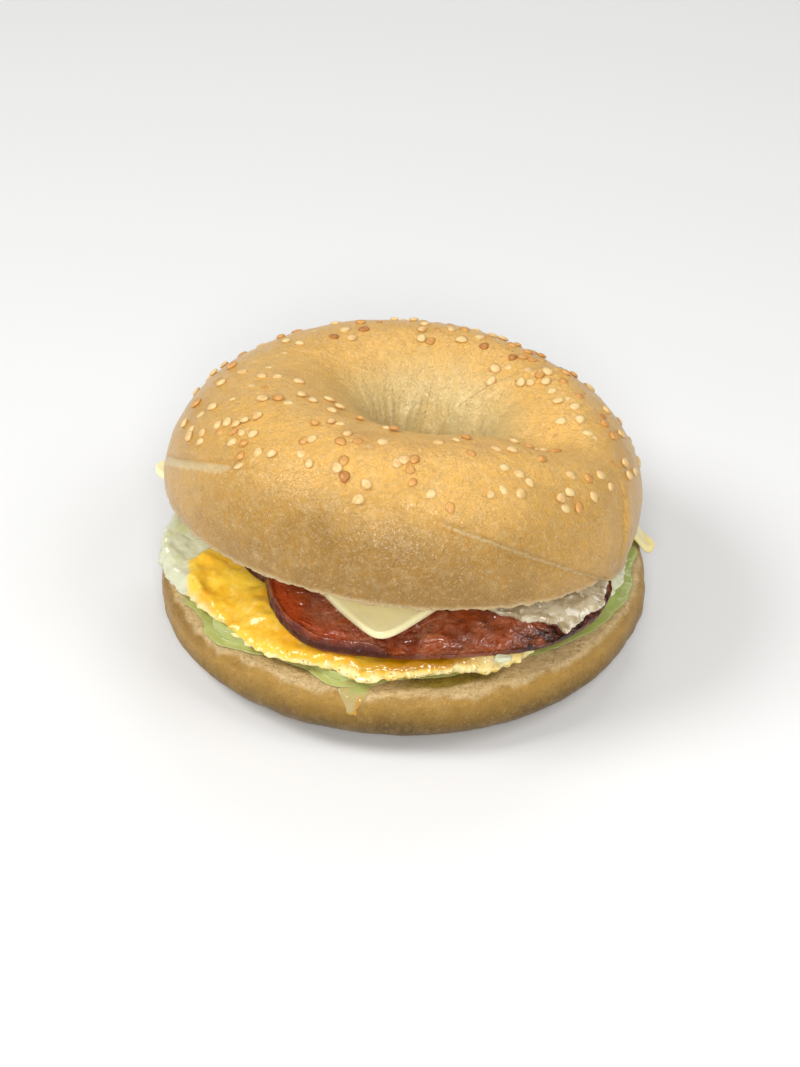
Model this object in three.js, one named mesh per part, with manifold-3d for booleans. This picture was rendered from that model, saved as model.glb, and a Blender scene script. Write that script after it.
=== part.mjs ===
// A filled sesame bagel: a plain bottom half, green avocado spread, a fried egg, two slices of back bacon,
// a flap of egg white, a square slice of cheese, and a seeded top half that lies tilted on the filling.
// Millimetres, +Z up, the open side towards -Y. The bottom half stands on z = 0.
import * as THREE from 'three';
import { mergeVertices } from 'three/addons/utils/BufferGeometryUtils.js';
import Module from 'manifold-3d';

const wasm = await Module();
wasm.setup();

// Angles are in degrees. An azimuth runs round the bagel from the right, with 90 at the back and 270 in front.
// Where the middle of the bottom half lies in the part's frame, so that the box of the whole is centred.
const middle = { x: -0.7, y: -6.4 };
const gap = 0.3; // air between touching pieces

const bottomHalf = {
  sideRadius: 59, frontRadius: 55, backRadius: 57, widestAt: 10.4, cutAt: 17.2, footShare: 0.69, shoulder: 3.6,
  holeRadius: 8.5, holeSwell: 2.6,
  pressed: 2.2, // how far the back of the cut face is pressed down
};

// The top half is tilted: its front is raised and its right side lowered. cutDepth is below its widest line.
const topHalf = {
  outerRadius: 56.6, crestRadius: 33.7, crestRise: 24.6, holeRadius: 10.4, cutDepth: 6.4,
  frontUp: 12.6, rightDown: 6.3, x: 0.85, y: 0.9, z: 37.9,
};
const cutAngle = toDegrees(Math.asin(topHalf.cutDepth / topHalf.crestRise));

// Folds of the rolled dough in the top half: an arched seam in front, a lobe beside the hole, and a dip.
const seam = { peakAt: -112, peak: 47, leftSpan: 62, leftDrop: 49, rightSpan: 82, rightDrop: 62, lip: 1.5 };
const lobe = { edgeAt: 28, curl: 0.0065, height: 2.2, fade: 26 };
const dip = { azimuth: -24, section: 98, depth: 6.5, azimuthWidth: 19, sectionWidth: 30 };

// Each filling takes at most its share of the room between the two cut faces.
const egg = { thickness: 4.5, share: 0.36, edge: 2, thinnest: 1.2, leftHeap: 2.4 };
const spread = { thickness: 1.2, bead: 1.8, innerRadius: 14 };
const frontBacon = {
  x: 8, y: -22, halfWidth: 41, halfDepth: 27, power: 2.5, turn: 3, thickness: 3.2, share: 0.25,
  curl: 2.2, swell: 2.4,
};
const backBacon = {
  x: -12, y: -4, halfWidth: 29, halfDepth: 23, power: 2.3, turn: -8, thickness: 2.3, share: 0.17,
};
const cheese = { x: 0.7, y: 13.4, side: 90, turn: 39.3, thickness: 2, squareness: 16, hang: 0.6, fall: 0.8 };
const whiteFlap = { x: 35.4, y: -31, halfWidth: 16, halfDepth: 7.2, power: 2.1, thickness: 1.6, turn: 36 };
const seed = { length: 3.2, width: 2.2, thickness: 1.1, tries: 470, apart: 2.9, sunk: 0.12 };

function toRadians(degrees) {
  return (degrees * Math.PI) / 180;
}

function toDegrees(radians) {
  return (radians * 180) / Math.PI;
}

// An angle in degrees brought to -180 to 180.
function wrapped(degrees) {
  return ((((degrees + 180) % 360) + 360) % 360) - 180;
}

// 0 below low, 1 above high, smooth between.
function smooth(low, high, value) {
  const t = Math.min(1, Math.max(0, (value - low) / (high - low)));
  return t * t * (3 - 2 * t);
}

// A repeatable number from 0 to 1 for each whole number n and each stream of them.
function chance(n, stream) {
  const s = Math.sin(n * 12.9898 + stream * 78.233) * 43758.5453;
  return s - Math.floor(s);
}

// A closed curve through [degrees, radius] pairs in rising order, as a smooth radius at any azimuth.
function roundOutline(pairs) {
  return (degrees) => {
    const at = ((degrees % 360) + 360) % 360;
    let i = pairs.length - 1;
    while (i > 0 && pairs[i][0] > at) i -= 1;
    const pick = (k) => {
      const turns = Math.floor(k / pairs.length);
      const [angle, radius] = pairs[k - turns * pairs.length];
      return [angle + 360 * turns, radius];
    };
    if (pairs[i][0] > at) i = -1;
    const [a, b, c, d] = [i - 1, i, i + 1, i + 2].map(pick);
    const t = (at - b[0]) / (c[0] - b[0]);
    const rise = (p, q) => ((q[1] - p[1]) / (q[0] - p[0])) * (c[0] - b[0]);
    const m0 = rise(a, c);
    const m1 = rise(b, d);
    const t2 = t * t;
    const t3 = t2 * t;
    return (2 * t3 - 3 * t2 + 1) * b[1] + (t3 - 2 * t2 + t) * m0 + (3 * t2 - 2 * t3) * c[1] + (t3 - t2) * m1;
  };
}

// How far out x, y lies in a turned oval: 0 at its middle, 1 on its edge.
function ovalShare(oval, x, y) {
  const turn = toRadians(oval.turn);
  const dx = x - oval.x;
  const dy = y - oval.y;
  const across = Math.abs(dx * Math.cos(turn) + dy * Math.sin(turn)) / oval.halfWidth;
  const along = Math.abs(dy * Math.cos(turn) - dx * Math.sin(turn)) / oval.halfDepth;
  return (across ** oval.power + along ** oval.power) ** (1 / oval.power);
}

// 1 over an oval and a little past its edge, falling smoothly to 0 outside it.
function overOval(oval, x, y) {
  return 1 - smooth(1.12, 1.6, ovalShare(oval, x, y));
}

// The height of the flat cut under the tilted top half, over x, y.
function undersideAt(x, y) {
  const right = toRadians(topHalf.rightDown);
  const front = toRadians(topHalf.frontUp);
  const toRight = Math.sin(right);
  const toBack = Math.sin(front) * Math.cos(right);
  const upward = Math.cos(front) * Math.cos(right);
  return topHalf.z - (topHalf.cutDepth + toRight * (x - topHalf.x) + toBack * (y - topHalf.y)) / upward;
}

// The height of the cut face of the bottom half: level in front, pressed down where the top half bears on it.
function cutFaceAt(y) {
  return bottomHalf.cutAt - bottomHalf.pressed * smooth(0, 42, y);
}

// A geometry whose grid of uv places is moved point by point: place(u, v) gives the new point.
function reshaped(geometry, place) {
  const position = geometry.getAttribute('position');
  const uv = geometry.getAttribute('uv');
  for (let i = 0; i < position.count; i += 1) {
    const point = place(uv.getX(i) % 1, uv.getY(i));
    position.setXYZ(i, point.x, point.y, point.z);
  }
  geometry.deleteAttribute('normal');
  geometry.deleteAttribute('uv');
  const merged = mergeVertices(geometry, 1e-4);
  merged.computeVertexNormals();
  return merged;
}

// A flat piece with a rounded edge: rings out from the middle over the top, round the edge, and back below.
function slab(shape) {
  const { around, rings, edgeRings, centre, radiusAt, bottomAt, topAt, edge, from = 0, bend = (p) => p } = shape;
  const half = rings + edgeRings;
  return reshaped(new THREE.SphereGeometry(1, around, 2 * half), (u, v) => {
    const ring = Math.round((1 - v) * 2 * half);
    const out = Math.min(ring, 2 * half - ring);
    const azimuth = u * 360 + from;
    const full = radiusAt(azimuth);
    const round = Math.max(0, out - rings) / edgeRings;
    const radius = ((full - edge) * Math.min(out, rings)) / rings + edge * Math.sin(toRadians(90 * round));
    const x = centre.x + radius * Math.cos(toRadians(azimuth));
    const y = centre.y + radius * Math.sin(toRadians(azimuth));
    const low = bottomAt(x, y);
    const high = topAt(x, y);
    const side = ring === half ? 0 : Math.sign(half - ring);
    const halfThickness = ((high - low) / 2) * Math.cos(toRadians(90 * round));
    return bend(new THREE.Vector3(x, y, (low + high) / 2 + side * halfThickness));
  });
}

// The radius of a turned oval at an azimuth, with a ripple for its uneven edge.
function ovalRadius(oval, ripple, waves) {
  return (azimuth) => {
    const centred = { ...oval, x: 0, y: 0 };
    const share = ovalShare(centred, Math.cos(toRadians(azimuth)), Math.sin(toRadians(azimuth)));
    return (1 / share) * (1 + ripple * Math.sin(toRadians(waves * azimuth + 40)));
  };
}

function manifoldOf(geometry) {
  const vertProperties = geometry.getAttribute('position').array;
  const triVerts = new Uint32Array(geometry.index.array);
  return new wasm.Manifold(new wasm.Mesh({ numProp: 3, vertProperties, triVerts }));
}

function geometryOf(solid) {
  const mesh = solid.getMesh();
  const geometry = new THREE.BufferGeometry();
  geometry.setAttribute('position', new THREE.BufferAttribute(Float32Array.from(mesh.vertProperties), 3));
  geometry.setIndex(new THREE.BufferAttribute(mesh.triVerts, 1));
  geometry.computeVertexNormals();
  return geometry;
}

// The bottom half's outer radius: wider at the sides than at the front, and a little uneven.
function bottomRadius(azimuth) {
  const lateral = Math.cos(toRadians(azimuth)) ** 2;
  const end = Math.sin(toRadians(azimuth)) < 0 ? bottomHalf.frontRadius : bottomHalf.backRadius;
  const bulge = 1.2 * Math.max(0, Math.cos(toRadians(azimuth + 42))) ** 4;
  return end + (bottomHalf.sideRadius - end) * lateral + bulge + 0.35 * Math.sin(toRadians(3 * azimuth + 20));
}

// The bottom half is a ring. Its section runs from the widest line over the cut face, down the hole, out along
// the flat foot and up round the underside, in stretches of a few steps each.
function bottomHalfGeometry() {
  const { widestAt, cutAt, footShare, shoulder, holeRadius, holeSwell } = bottomHalf;
  const mouth = holeRadius + holeSwell;
  const steps = 16;
  const stretches = [
    [4, (outer, t) => {
      const turn = toRadians(90 * t);
      const rise = (cutAt - widestAt) * Math.sin(turn) ** 0.8;
      return [outer - shoulder * (1 - Math.cos(turn) ** 0.8), widestAt + rise];
    }],
    [2, (outer, t) => [outer - shoulder - (outer - shoulder - mouth) * t, cutAt]],
    [4, (outer, t) => [holeRadius + holeSwell * Math.abs(Math.cos(Math.PI * t)) ** 1.5, cutAt * (1 - t)]],
    [1, (outer, t) => [mouth + (footShare * outer - mouth) * t, 0]],
    [5, (outer, t) => {
      const turn = toRadians(90 * t);
      const reach = footShare + (1 - footShare) * Math.sin(turn) ** 0.95;
      return [outer * reach, widestAt * (1 - Math.cos(turn) ** 0.95)];
    }],
  ];
  return reshaped(new THREE.TorusGeometry(1, 0.5, steps, 44), (u, v) => {
    const azimuth = u * 360;
    let step = Math.round((v % 1) * steps);
    const [count, section] = stretches.find(([length]) => {
      if (step < length) return true;
      step -= length;
      return false;
    });
    const [radius, z] = section(bottomRadius(azimuth), step / count);
    const x = radius * Math.cos(toRadians(azimuth));
    const y = radius * Math.sin(toRadians(azimuth));
    const press = Math.max(0, z - widestAt) / (cutAt - widestAt);
    return new THREE.Vector3(x, y, z + press * (cutFaceAt(y) - cutAt));
  });
}

const spreadOutline = roundOutline([
  [0, 56], [15, 53], [30, 46], [60, 41], [90, 41], [120, 43], [150, 49], [180, 54], [203, 56.4],
  [216, 55.2], [226, 52.8], [233, 50.6], [242, 50.9], [256, 52.2], [268, 48.5], [285, 46], [298, 49],
  [306, 52.6], [318, 54], [330, 55.6], [345, 57],
]);

// The spread is a thin ring on the cut, with a bead at its edge where it is squeezed out from under the egg.
function spreadGeometry() {
  return reshaped(new THREE.TorusGeometry(1, 0.5, 8, 48), (u, v) => {
    const azimuth = u * 360;
    const outer = Math.min(spreadOutline(azimuth), bottomRadius(azimuth) - bottomHalf.shoulder + 0.4);
    const inner = spread.innerRadius + 0.8 * Math.sin(toRadians(3 * azimuth));
    const flatEnd = Math.min(eggRadius(azimuth) + 0.3, outer - 2.2);
    const ridge = Math.min(outer - 0.5, Math.max((flatEnd + outer) / 2, eggRadius(azimuth) + 0.9));
    const gaping = 1 - smooth(-0.25, 0, Math.sin(toRadians(azimuth)));
    const squeezed = gaping * smooth(1.2, 3, outer - eggRadius(azimuth));
    const bead = squeezed * spread.bead * (0.8 + 0.4 * Math.sin(toRadians(13 * azimuth)));
    const section = [
      [outer - 0.8, 0],
      [outer, 0.4],
      [ridge + 0.7 * (outer - ridge), spread.thickness + 0.6 * bead - 0.2],
      [ridge, spread.thickness + bead],
      [flatEnd, spread.thickness],
      [(inner + flatEnd) / 2, spread.thickness],
      [inner + 0.6, spread.thickness],
      [inner, 0],
    ];
    const [radius, height] = section[Math.round((v % 1) * section.length)];
    const x = radius * Math.cos(toRadians(azimuth));
    const y = radius * Math.sin(toRadians(azimuth));
    return new THREE.Vector3(x, y, cutFaceAt(y) + gap + height);
  });
}

const eggRadius = roundOutline([
  [0, 53], [30, 46], [60, 42], [90, 43], [120, 47], [150, 52], [180, 57.5], [188, 58.6], [203, 54.6],
  [213, 52.4], [223, 52.3], [237, 51.9], [248, 50.4], [259, 51.4], [270, 50.5], [283, 49.8], [294, 52.6],
  [304, 51.4], [318, 48], [330, 48.5], [345, 52.4],
]);

// The height that the filling has for itself between the two cut faces, without the spread and the gaps.
function roomAt(x, y) {
  return undersideAt(x, y) - cutFaceAt(y) - spread.thickness - 6 * gap;
}

function eggBottomAt(x, y) {
  return cutFaceAt(y) + spread.thickness + 2 * gap;
}

// The egg is thick where the bagel gapes and thin where the top half presses on it.
function eggTopAt(x, y) {
  const lumps = 0.35 * Math.sin(x * 0.21 + 1) * Math.sin(y * 0.17);
  const heap = egg.leftHeap * smooth(-43, -57, x);
  const pressed = egg.share * roomAt(x, y);
  return eggBottomAt(x, y) + Math.max(egg.thinnest, Math.min(egg.thickness + lumps, pressed) + heap);
}

function baconThickness(slice, x, y) {
  return Math.min(slice.thickness, slice.share * roomAt(x, y));
}

function backBaconBottomAt(x, y) {
  return eggTopAt(x, y) + gap;
}

function backBaconTopAt(x, y) {
  return backBaconBottomAt(x, y) + baconThickness(backBacon, x, y);
}

// The front slice lies on the egg, climbs over the other slice, and its left end curls up.
function frontBaconBottomAt(x, y) {
  const climb = (baconThickness(backBacon, x, y) + gap) * overOval(backBacon, x, y);
  return eggTopAt(x, y) + gap + climb + frontBacon.curl * smooth(-18, -34, x) * smooth(-12, -24, y);
}

function frontBaconTopAt(x, y) {
  const swell = frontBacon.swell * Math.max(0, 1 - ovalShare(frontBacon, x, y) ** 3) * smooth(-2, -22, y);
  return frontBaconBottomAt(x, y) + baconThickness(frontBacon, x, y) + swell;
}

// What the cheese and the egg-white flap lie on: egg, and the bacon where there is some.
function fillingTopAt(x, y) {
  const back = eggTopAt(x, y) + (baconThickness(backBacon, x, y) + gap) * overOval(backBacon, x, y);
  return back + (frontBaconTopAt(x, y) - back) * overOval(frontBacon, x, y);
}

// The cheese drapes over the filling, sinks onto the bread outside the egg, and hangs over the rim.
function cheeseBottomAt(x, y) {
  const azimuth = toDegrees(Math.atan2(y, x));
  const reach = Math.hypot(x, y);
  const spreadUnder = (spread.thickness + gap) * (1 - smooth(0, 3, reach - spreadOutline(azimuth)));
  const onBread = cutFaceAt(y) + gap + spreadUnder;
  const air = Math.max(2 * smooth(5, -15, y), 8 * smooth(-34, -46, x));
  const onEgg = fillingTopAt(x, y) + gap * (1.5 + air);
  const past = smooth(1.05, 1.2, reach / eggRadius(azimuth)) * smooth(-30, 0, y);
  return onEgg + (onBread - onEgg) * past;
}

function cheeseTopAt(x, y) {
  return Math.min(cheeseBottomAt(x, y) + cheese.thickness, undersideAt(x, y) - gap);
}

// What reaches past the rim of the bread at the back and the right bends down.
function hungOver(point) {
  const reach = Math.hypot(point.x, point.y);
  const past = Math.max(0, reach - bottomRadius(toDegrees(Math.atan2(point.y, point.x))) - 3.4);
  const soft = smooth(-40, -10, point.x) * past;
  const scale = (reach - (1 - cheese.hang) * soft * smooth(10, 40, point.y)) / reach;
  return new THREE.Vector3(point.x * scale, point.y * scale, point.z - cheese.fall * soft);
}

function squareRadius(azimuth) {
  const half = cheese.side / 2;
  const square = { x: 0, y: 0, turn: cheese.turn, halfWidth: half, halfDepth: half, power: cheese.squareness };
  return 1 / ovalShare(square, Math.cos(toRadians(azimuth)), Math.sin(toRadians(azimuth)));
}

// The top half in its own level frame: azimuth round the hole, and section angle from 0 at the widest line
// through 90 at the crest to 180 in the throat of the hole.
function topSection(azimuth, section) {
  const { outerRadius, crestRadius, crestRise, holeRadius } = topHalf;
  const c = Math.cos(toRadians(azimuth));
  const s = Math.sin(toRadians(azimuth));
  const twice = toRadians(2 * azimuth);
  const crest = crestRadius + 2 * c;
  const hole = holeRadius + 4.4 * c + 2.9 * s;
  const rise = crestRise - 0.7 * Math.cos(twice) + 0.5 * Math.sin(twice) + 2.4 * Math.max(0, s) ** 2;
  const outer = outerRadius + 1.4 * Math.max(0, Math.cos(toRadians(azimuth - 145))) ** 2;
  const reach = section < 90 ? outer - crest : crest - hole;
  const relief = topRelief(azimuth, section);
  const cosine = Math.cos(toRadians(section));
  const sine = Math.sin(toRadians(section));
  return { radius: crest + (reach + relief) * cosine, z: (rise + relief) * sine };
}

// The section angle at which the seam lies: an arch with its peak left of the front.
function seamAt(azimuth) {
  const side = azimuth - seam.peakAt;
  const [span, drop] = side < 0 ? [seam.leftSpan, seam.leftDrop] : [seam.rightSpan, seam.rightDrop];
  return seam.peak - drop * Math.abs(side / span) ** 1.5;
}

// A lip stands proud above the seam on the right and below it on the left. The lobe's edge curls round the hole.
function topRelief(azimuth, section) {
  const at = wrapped(azimuth);
  const above = 0.42 * (section - seamAt(at)); // millimetres above the seam
  const ends = smooth(-182, -172, at) * (1 - smooth(-24, -14, at));
  const groove = -0.5 * Math.exp(-((above / 2.4) ** 2));
  const rightLip = smooth(-100, -60, at) * smooth(-2.6, 2.6, above) * Math.exp(-Math.max(0, above) / 10);
  const leftLip = smooth(-120, -150, at) * smooth(2.6, -2.6, above) * Math.exp(Math.min(0, above) / 9);
  const fold = ends * (groove + seam.lip * (rightLip + 0.7 * leftLip));
  const before = lobe.edgeAt + lobe.curl * (section - 88) ** 2 - at;
  const inside = smooth(62, 84, section) * (1 - smooth(178, 195, section));
  const swelling = lobe.height * inside * smooth(-2, 3, before) * Math.exp(-Math.max(0, before) / lobe.fade);
  const dipAround = ((at - dip.azimuth) / dip.azimuthWidth) ** 2;
  const dipAcross = ((section - dip.section) / dip.sectionWidth) ** 2;
  const lumps = 0.5 * Math.sin(toRadians(3 * at + 50)) * Math.sin(toRadians(2 * section + 20));
  return fold + swelling - dip.depth * Math.exp(-dipAround - dipAcross) + lumps;
}

function topPoint(azimuth, section) {
  const { radius, z } = topSection(azimuth, section);
  return new THREE.Vector3(radius * Math.cos(toRadians(azimuth)), radius * Math.sin(toRadians(azimuth)), z);
}

// The crust ring: most of the section is crust, and the last three steps close it with the flat cut.
function crustGeometry() {
  const steps = 22;
  const cutSteps = 3;
  return reshaped(new THREE.TorusGeometry(1, 0.5, steps, 60), (u, v) => {
    const step = Math.round((v % 1) * steps);
    const azimuth = u * 360;
    const first = -cutAngle;
    const last = 180 + cutAngle;
    const crustSteps = steps - cutSteps;
    if (step <= crustSteps) {
      const point = topPoint(azimuth, first + ((last - first) * step) / crustSteps);
      if (step === 0 || step === crustSteps) point.z = -topHalf.cutDepth;
      return point;
    }
    const share = (step - crustSteps) / cutSteps;
    const point = topPoint(azimuth, last).lerp(topPoint(azimuth, first), share);
    point.z = -topHalf.cutDepth;
    return point;
  });
}

// How thickly the seeds lie, from 0 to 1: none low on the front, most over the crest and the sides.
function seedDensity(azimuth, section) {
  const at = wrapped(azimuth);
  const front = Math.exp(-(((at + 96) / 34) ** 2));
  const lowest = 16 + 24 * front;
  const band = smooth(lowest - 6, lowest + 14, section) * (1 - smooth(90, 112, section));
  const clumps = Math.sin(toRadians(5 * at + 3 * section)) * Math.sin(toRadians(7 * at - 4 * section + 60));
  return band * (0.62 + 0.38 * clumps) * (1 - 0.45 * front * (1 - smooth(60, 80, section)));
}

// Seeds are strewn by a repeatable rule. The plastic number's powers spread the tries evenly over the crust.
// Each is kept by the chance that its place gives, if it lies apart from the seeds before it.
function seedPlaces() {
  const plastic = 1.32471795724;
  const kept = [];
  for (let n = 1; n <= seed.tries; n += 1) {
    const azimuth = 360 * ((n / plastic) % 1);
    const section = -5 + 125 * ((n / plastic ** 2) % 1);
    const point = topPoint(azimuth, section);
    const share = Math.hypot(point.x, point.y) / topHalf.outerRadius;
    const clear = kept.every((k) => k.point.distanceTo(point) > seed.apart);
    if (clear && chance(n, 1) < seedDensity(azimuth, section) * share) kept.push({ n, azimuth, section, point });
  }
  return kept;
}

function seedGeometry({ n, azimuth, section, point }) {
  const along = topPoint(azimuth + 0.5, section).sub(point).normalize();
  const up = topPoint(azimuth, section + 0.5).sub(point).normalize();
  const out = new THREE.Vector3().crossVectors(along, up).normalize();
  const side = new THREE.Vector3().crossVectors(out, along);
  const size = 0.88 + 0.26 * chance(n, 2); // seeds differ a little
  const turn = 2 * Math.PI * chance(n, 3);
  const geometry = new THREE.IcosahedronGeometry(1, 0);
  geometry.deleteAttribute('normal');
  geometry.deleteAttribute('uv');
  const merged = mergeVertices(geometry, 1e-4);
  merged.scale((size * seed.length) / 2, (size * seed.width) / 2, seed.thickness / 2);
  merged.rotateZ(turn);
  const middleAt = point.clone().addScaledVector(out, seed.thickness * seed.sunk);
  return merged.applyMatrix4(new THREE.Matrix4().makeBasis(along, side, out).setPosition(middleAt));
}

function topHalfGeometry() {
  const parts = [manifoldOf(crustGeometry()), ...seedPlaces().map((place) => manifoldOf(seedGeometry(place)))];
  return geometryOf(wasm.Manifold.union(parts));
}

const finishes = {
  crust: new THREE.MeshStandardMaterial({ color: '#c9974f', roughness: 0.55, metalness: 0 }),
  paleCrust: new THREE.MeshStandardMaterial({ color: '#b98c4c', roughness: 0.6, metalness: 0 }),
  spread: new THREE.MeshStandardMaterial({ color: '#9fae5c', roughness: 0.35, metalness: 0 }),
  egg: new THREE.MeshStandardMaterial({ color: '#e6ad22', roughness: 0.35, metalness: 0 }),
  eggWhite: new THREE.MeshStandardMaterial({ color: '#cfc3a4', roughness: 0.35, metalness: 0 }),
  bacon: new THREE.MeshStandardMaterial({ color: '#8c3a1c', roughness: 0.3, metalness: 0 }),
  cheese: new THREE.MeshStandardMaterial({ color: '#dccb8a', roughness: 0.4, metalness: 0 }),
};

const sandwich = new THREE.Group();

function add(name, geometry, finish) {
  const mesh = new THREE.Mesh(geometry, finish);
  mesh.name = name;
  sandwich.add(mesh);
  return mesh;
}

add('bottom_half', bottomHalfGeometry(), finishes.paleCrust);
add('spread', spreadGeometry(), finishes.spread);
add(
  'fried_egg',
  slab({
    around: 44, rings: 5, edgeRings: 2, centre: { x: 0, y: 0 }, radiusAt: eggRadius,
    bottomAt: eggBottomAt, topAt: eggTopAt, edge: egg.edge,
  }),
  finishes.egg,
);
add(
  'bacon_back_slice',
  slab({
    around: 28, rings: 3, edgeRings: 1, centre: backBacon, radiusAt: ovalRadius(backBacon, 0.02, 5),
    bottomAt: backBaconBottomAt, topAt: backBaconTopAt, edge: 1.1,
  }),
  finishes.bacon,
);
add(
  'bacon_front_slice',
  slab({
    around: 36, rings: 5, edgeRings: 1, centre: frontBacon, radiusAt: ovalRadius(frontBacon, 0.012, 5),
    bottomAt: frontBaconBottomAt, topAt: frontBaconTopAt, edge: 0.9,
  }),
  finishes.bacon,
);
add(
  'cheese_slice',
  slab({
    around: 32, rings: 8, edgeRings: 1, centre: cheese, radiusAt: squareRadius,
    bottomAt: cheeseBottomAt, topAt: cheeseTopAt, edge: 0.6, from: cheese.turn - 45, bend: hungOver,
  }),
  finishes.cheese,
);
add(
  'egg_white_flap',
  slab({
    around: 26, rings: 3, edgeRings: 1, centre: whiteFlap, radiusAt: ovalRadius(whiteFlap, 0.08, 5),
    bottomAt: (x, y) => fillingTopAt(x, y) + gap,
    topAt: (x, y) => fillingTopAt(x, y) + gap + whiteFlap.thickness, edge: 0.8,
  }),
  finishes.eggWhite,
);
const top = add('top_half', topHalfGeometry(), finishes.crust);
// Turned about X first in the world, so that the right side is lowered in the half's own frame.
top.rotation.set(-toRadians(topHalf.frontUp), toRadians(topHalf.rightDown), 0, 'XYZ');
top.position.set(topHalf.x, topHalf.y, topHalf.z);

sandwich.position.set(middle.x, middle.y, 0);

export default sandwich;
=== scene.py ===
# A filled sesame bagel: two crusty halves, avocado spread, a fried egg, back bacon, cheese and egg white.
# Shapes are worked out in millimetres and written in metres. Azimuths are in degrees round the bagel,
# from the right, with 90 at the back and 270 in front.
import math

import bpy
import numpy as np
from mathutils import Matrix, Vector


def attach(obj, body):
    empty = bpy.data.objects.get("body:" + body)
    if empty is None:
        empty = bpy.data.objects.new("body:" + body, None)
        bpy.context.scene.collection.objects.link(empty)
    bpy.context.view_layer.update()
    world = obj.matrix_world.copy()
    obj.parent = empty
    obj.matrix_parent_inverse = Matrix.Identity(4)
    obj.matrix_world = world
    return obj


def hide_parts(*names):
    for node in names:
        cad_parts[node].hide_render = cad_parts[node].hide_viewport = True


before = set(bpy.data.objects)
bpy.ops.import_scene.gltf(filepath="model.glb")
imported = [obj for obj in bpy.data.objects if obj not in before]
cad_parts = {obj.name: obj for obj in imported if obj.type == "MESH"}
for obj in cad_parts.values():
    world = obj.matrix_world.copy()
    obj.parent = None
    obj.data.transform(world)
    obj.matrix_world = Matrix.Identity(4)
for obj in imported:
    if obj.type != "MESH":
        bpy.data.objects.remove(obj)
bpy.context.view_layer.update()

middle = np.array([-0.7, -6.4, 0.0])  # where the middle of the bottom half lies in the frame
gap = 0.3  # between two pieces


def smooth(low, high, value):
    # 0 below low, 1 above high, 3t^2 - 2t^3 between.
    t = np.clip((value - low) / (high - low), 0.0, 1.0)
    return t * t * (3 - 2 * t)


def sine(degrees):
    return np.sin(np.radians(degrees))


def cosine(degrees):
    return np.cos(np.radians(degrees))


def hill(value, at, width):
    # 1 at that value, falling away on both sides like a bell: e^-t^2, with t the distance in widths.
    return np.exp(-(((value - at) / width) ** 2))


def chance(n, stream):
    # A repeatable number from 0 to 1 for each whole number and stream.
    value = math.sin(n * 12.9898 + stream * 78.233) * 43758.5453
    return value - math.floor(value)


def noise(points, size, seed=0):
    # Smooth noise from -1 to 1: hashed values on the corners of a lattice of that size, blended between them.
    places = np.asarray(points, float) / size
    cell = np.floor(places).astype(np.int64)
    blend = places - cell
    blend = blend * blend * (3 - 2 * blend)
    total = np.zeros(places.shape[:-1])
    for corner in range(8):
        step = np.array([corner & 1, (corner >> 1) & 1, (corner >> 2) & 1])
        at = cell + step
        mixed = (at[..., 0] * 73856093) ^ (at[..., 1] * 19349663)
        mixed = mixed ^ (at[..., 2] * 83492791) ^ (seed * 265443576)
        mixed = (mixed ^ (mixed >> 13)) * 1274126177
        mixed = (mixed ^ (mixed >> 16)) & 0xFFFF
        total += np.prod(np.where(step == 1, blend, 1 - blend), axis=-1) * (mixed / 32767.5 - 1)
    return total


def flat(x, y, z=0.0):
    # x, y and z as an array of points.
    x, y, z = np.broadcast_arrays(x, y, z)
    return np.stack([x, y, z], axis=-1)


def roundOutline(pairs):
    # A closed outline through [degrees, radius] pairs: cubic steps whose slopes follow the neighbours.
    angles = np.array([pair[0] for pair in pairs], float)
    radii = np.array([pair[1] for pair in pairs], float)
    angles = np.concatenate([angles[-2:] - 360, angles, angles[:3] + 360])
    radii = np.concatenate([radii[-2:], radii, radii[:3]])
    slopes = np.zeros_like(radii)
    slopes[1:-1] = (radii[2:] - radii[:-2]) / (angles[2:] - angles[:-2])

    def radiusAt(degrees):
        at = np.mod(degrees, 360.0)
        i = np.searchsorted(angles, at, side="right") - 1
        span = angles[i + 1] - angles[i]
        t = (at - angles[i]) / span
        rising = (2 * t**3 - 3 * t**2 + 1) * radii[i] + (t**3 - 2 * t**2 + t) * span * slopes[i]
        return rising + (3 * t**2 - 2 * t**3) * radii[i + 1] + (t**3 - t**2) * span * slopes[i + 1]

    return radiusAt


def around(azimuth, bumps, seed, along=0.0):
    # Noise round a circle, with about that many bumps in a turn. along moves it steadily into new noise.
    reach = bumps / (2 * np.pi)
    return noise(flat(reach * cosine(azimuth), reach * sine(azimuth), along), 1, seed)


def ovalShare(oval, x, y):
    # How far out x, y lies in a turned oval: 0 at its middle, 1 on its edge.
    dx, dy = x - oval["x"], y - oval["y"]
    across = np.abs(dx * cosine(oval["turn"]) + dy * sine(oval["turn"])) / oval["halfWidth"]
    along = np.abs(dy * cosine(oval["turn"]) - dx * sine(oval["turn"])) / oval["halfDepth"]
    return (across ** oval["power"] + along ** oval["power"]) ** (1 / oval["power"])


def overOval(oval, x, y):
    # 1 over an oval and a little past its edge, falling smoothly to 0 outside it.
    return 1 - smooth(1.12, 1.6, ovalShare(oval, x, y))


def ovalRadius(oval, ripple, waves):
    # The radius of a turned oval at an azimuth, with a ripple for its uneven edge.
    def radiusAt(azimuth):
        share = ovalShare({**oval, "x": 0, "y": 0}, cosine(azimuth), sine(azimuth))
        return (1 / share) * (1 + ripple * sine(waves * azimuth + 40))
    return radiusAt


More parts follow.
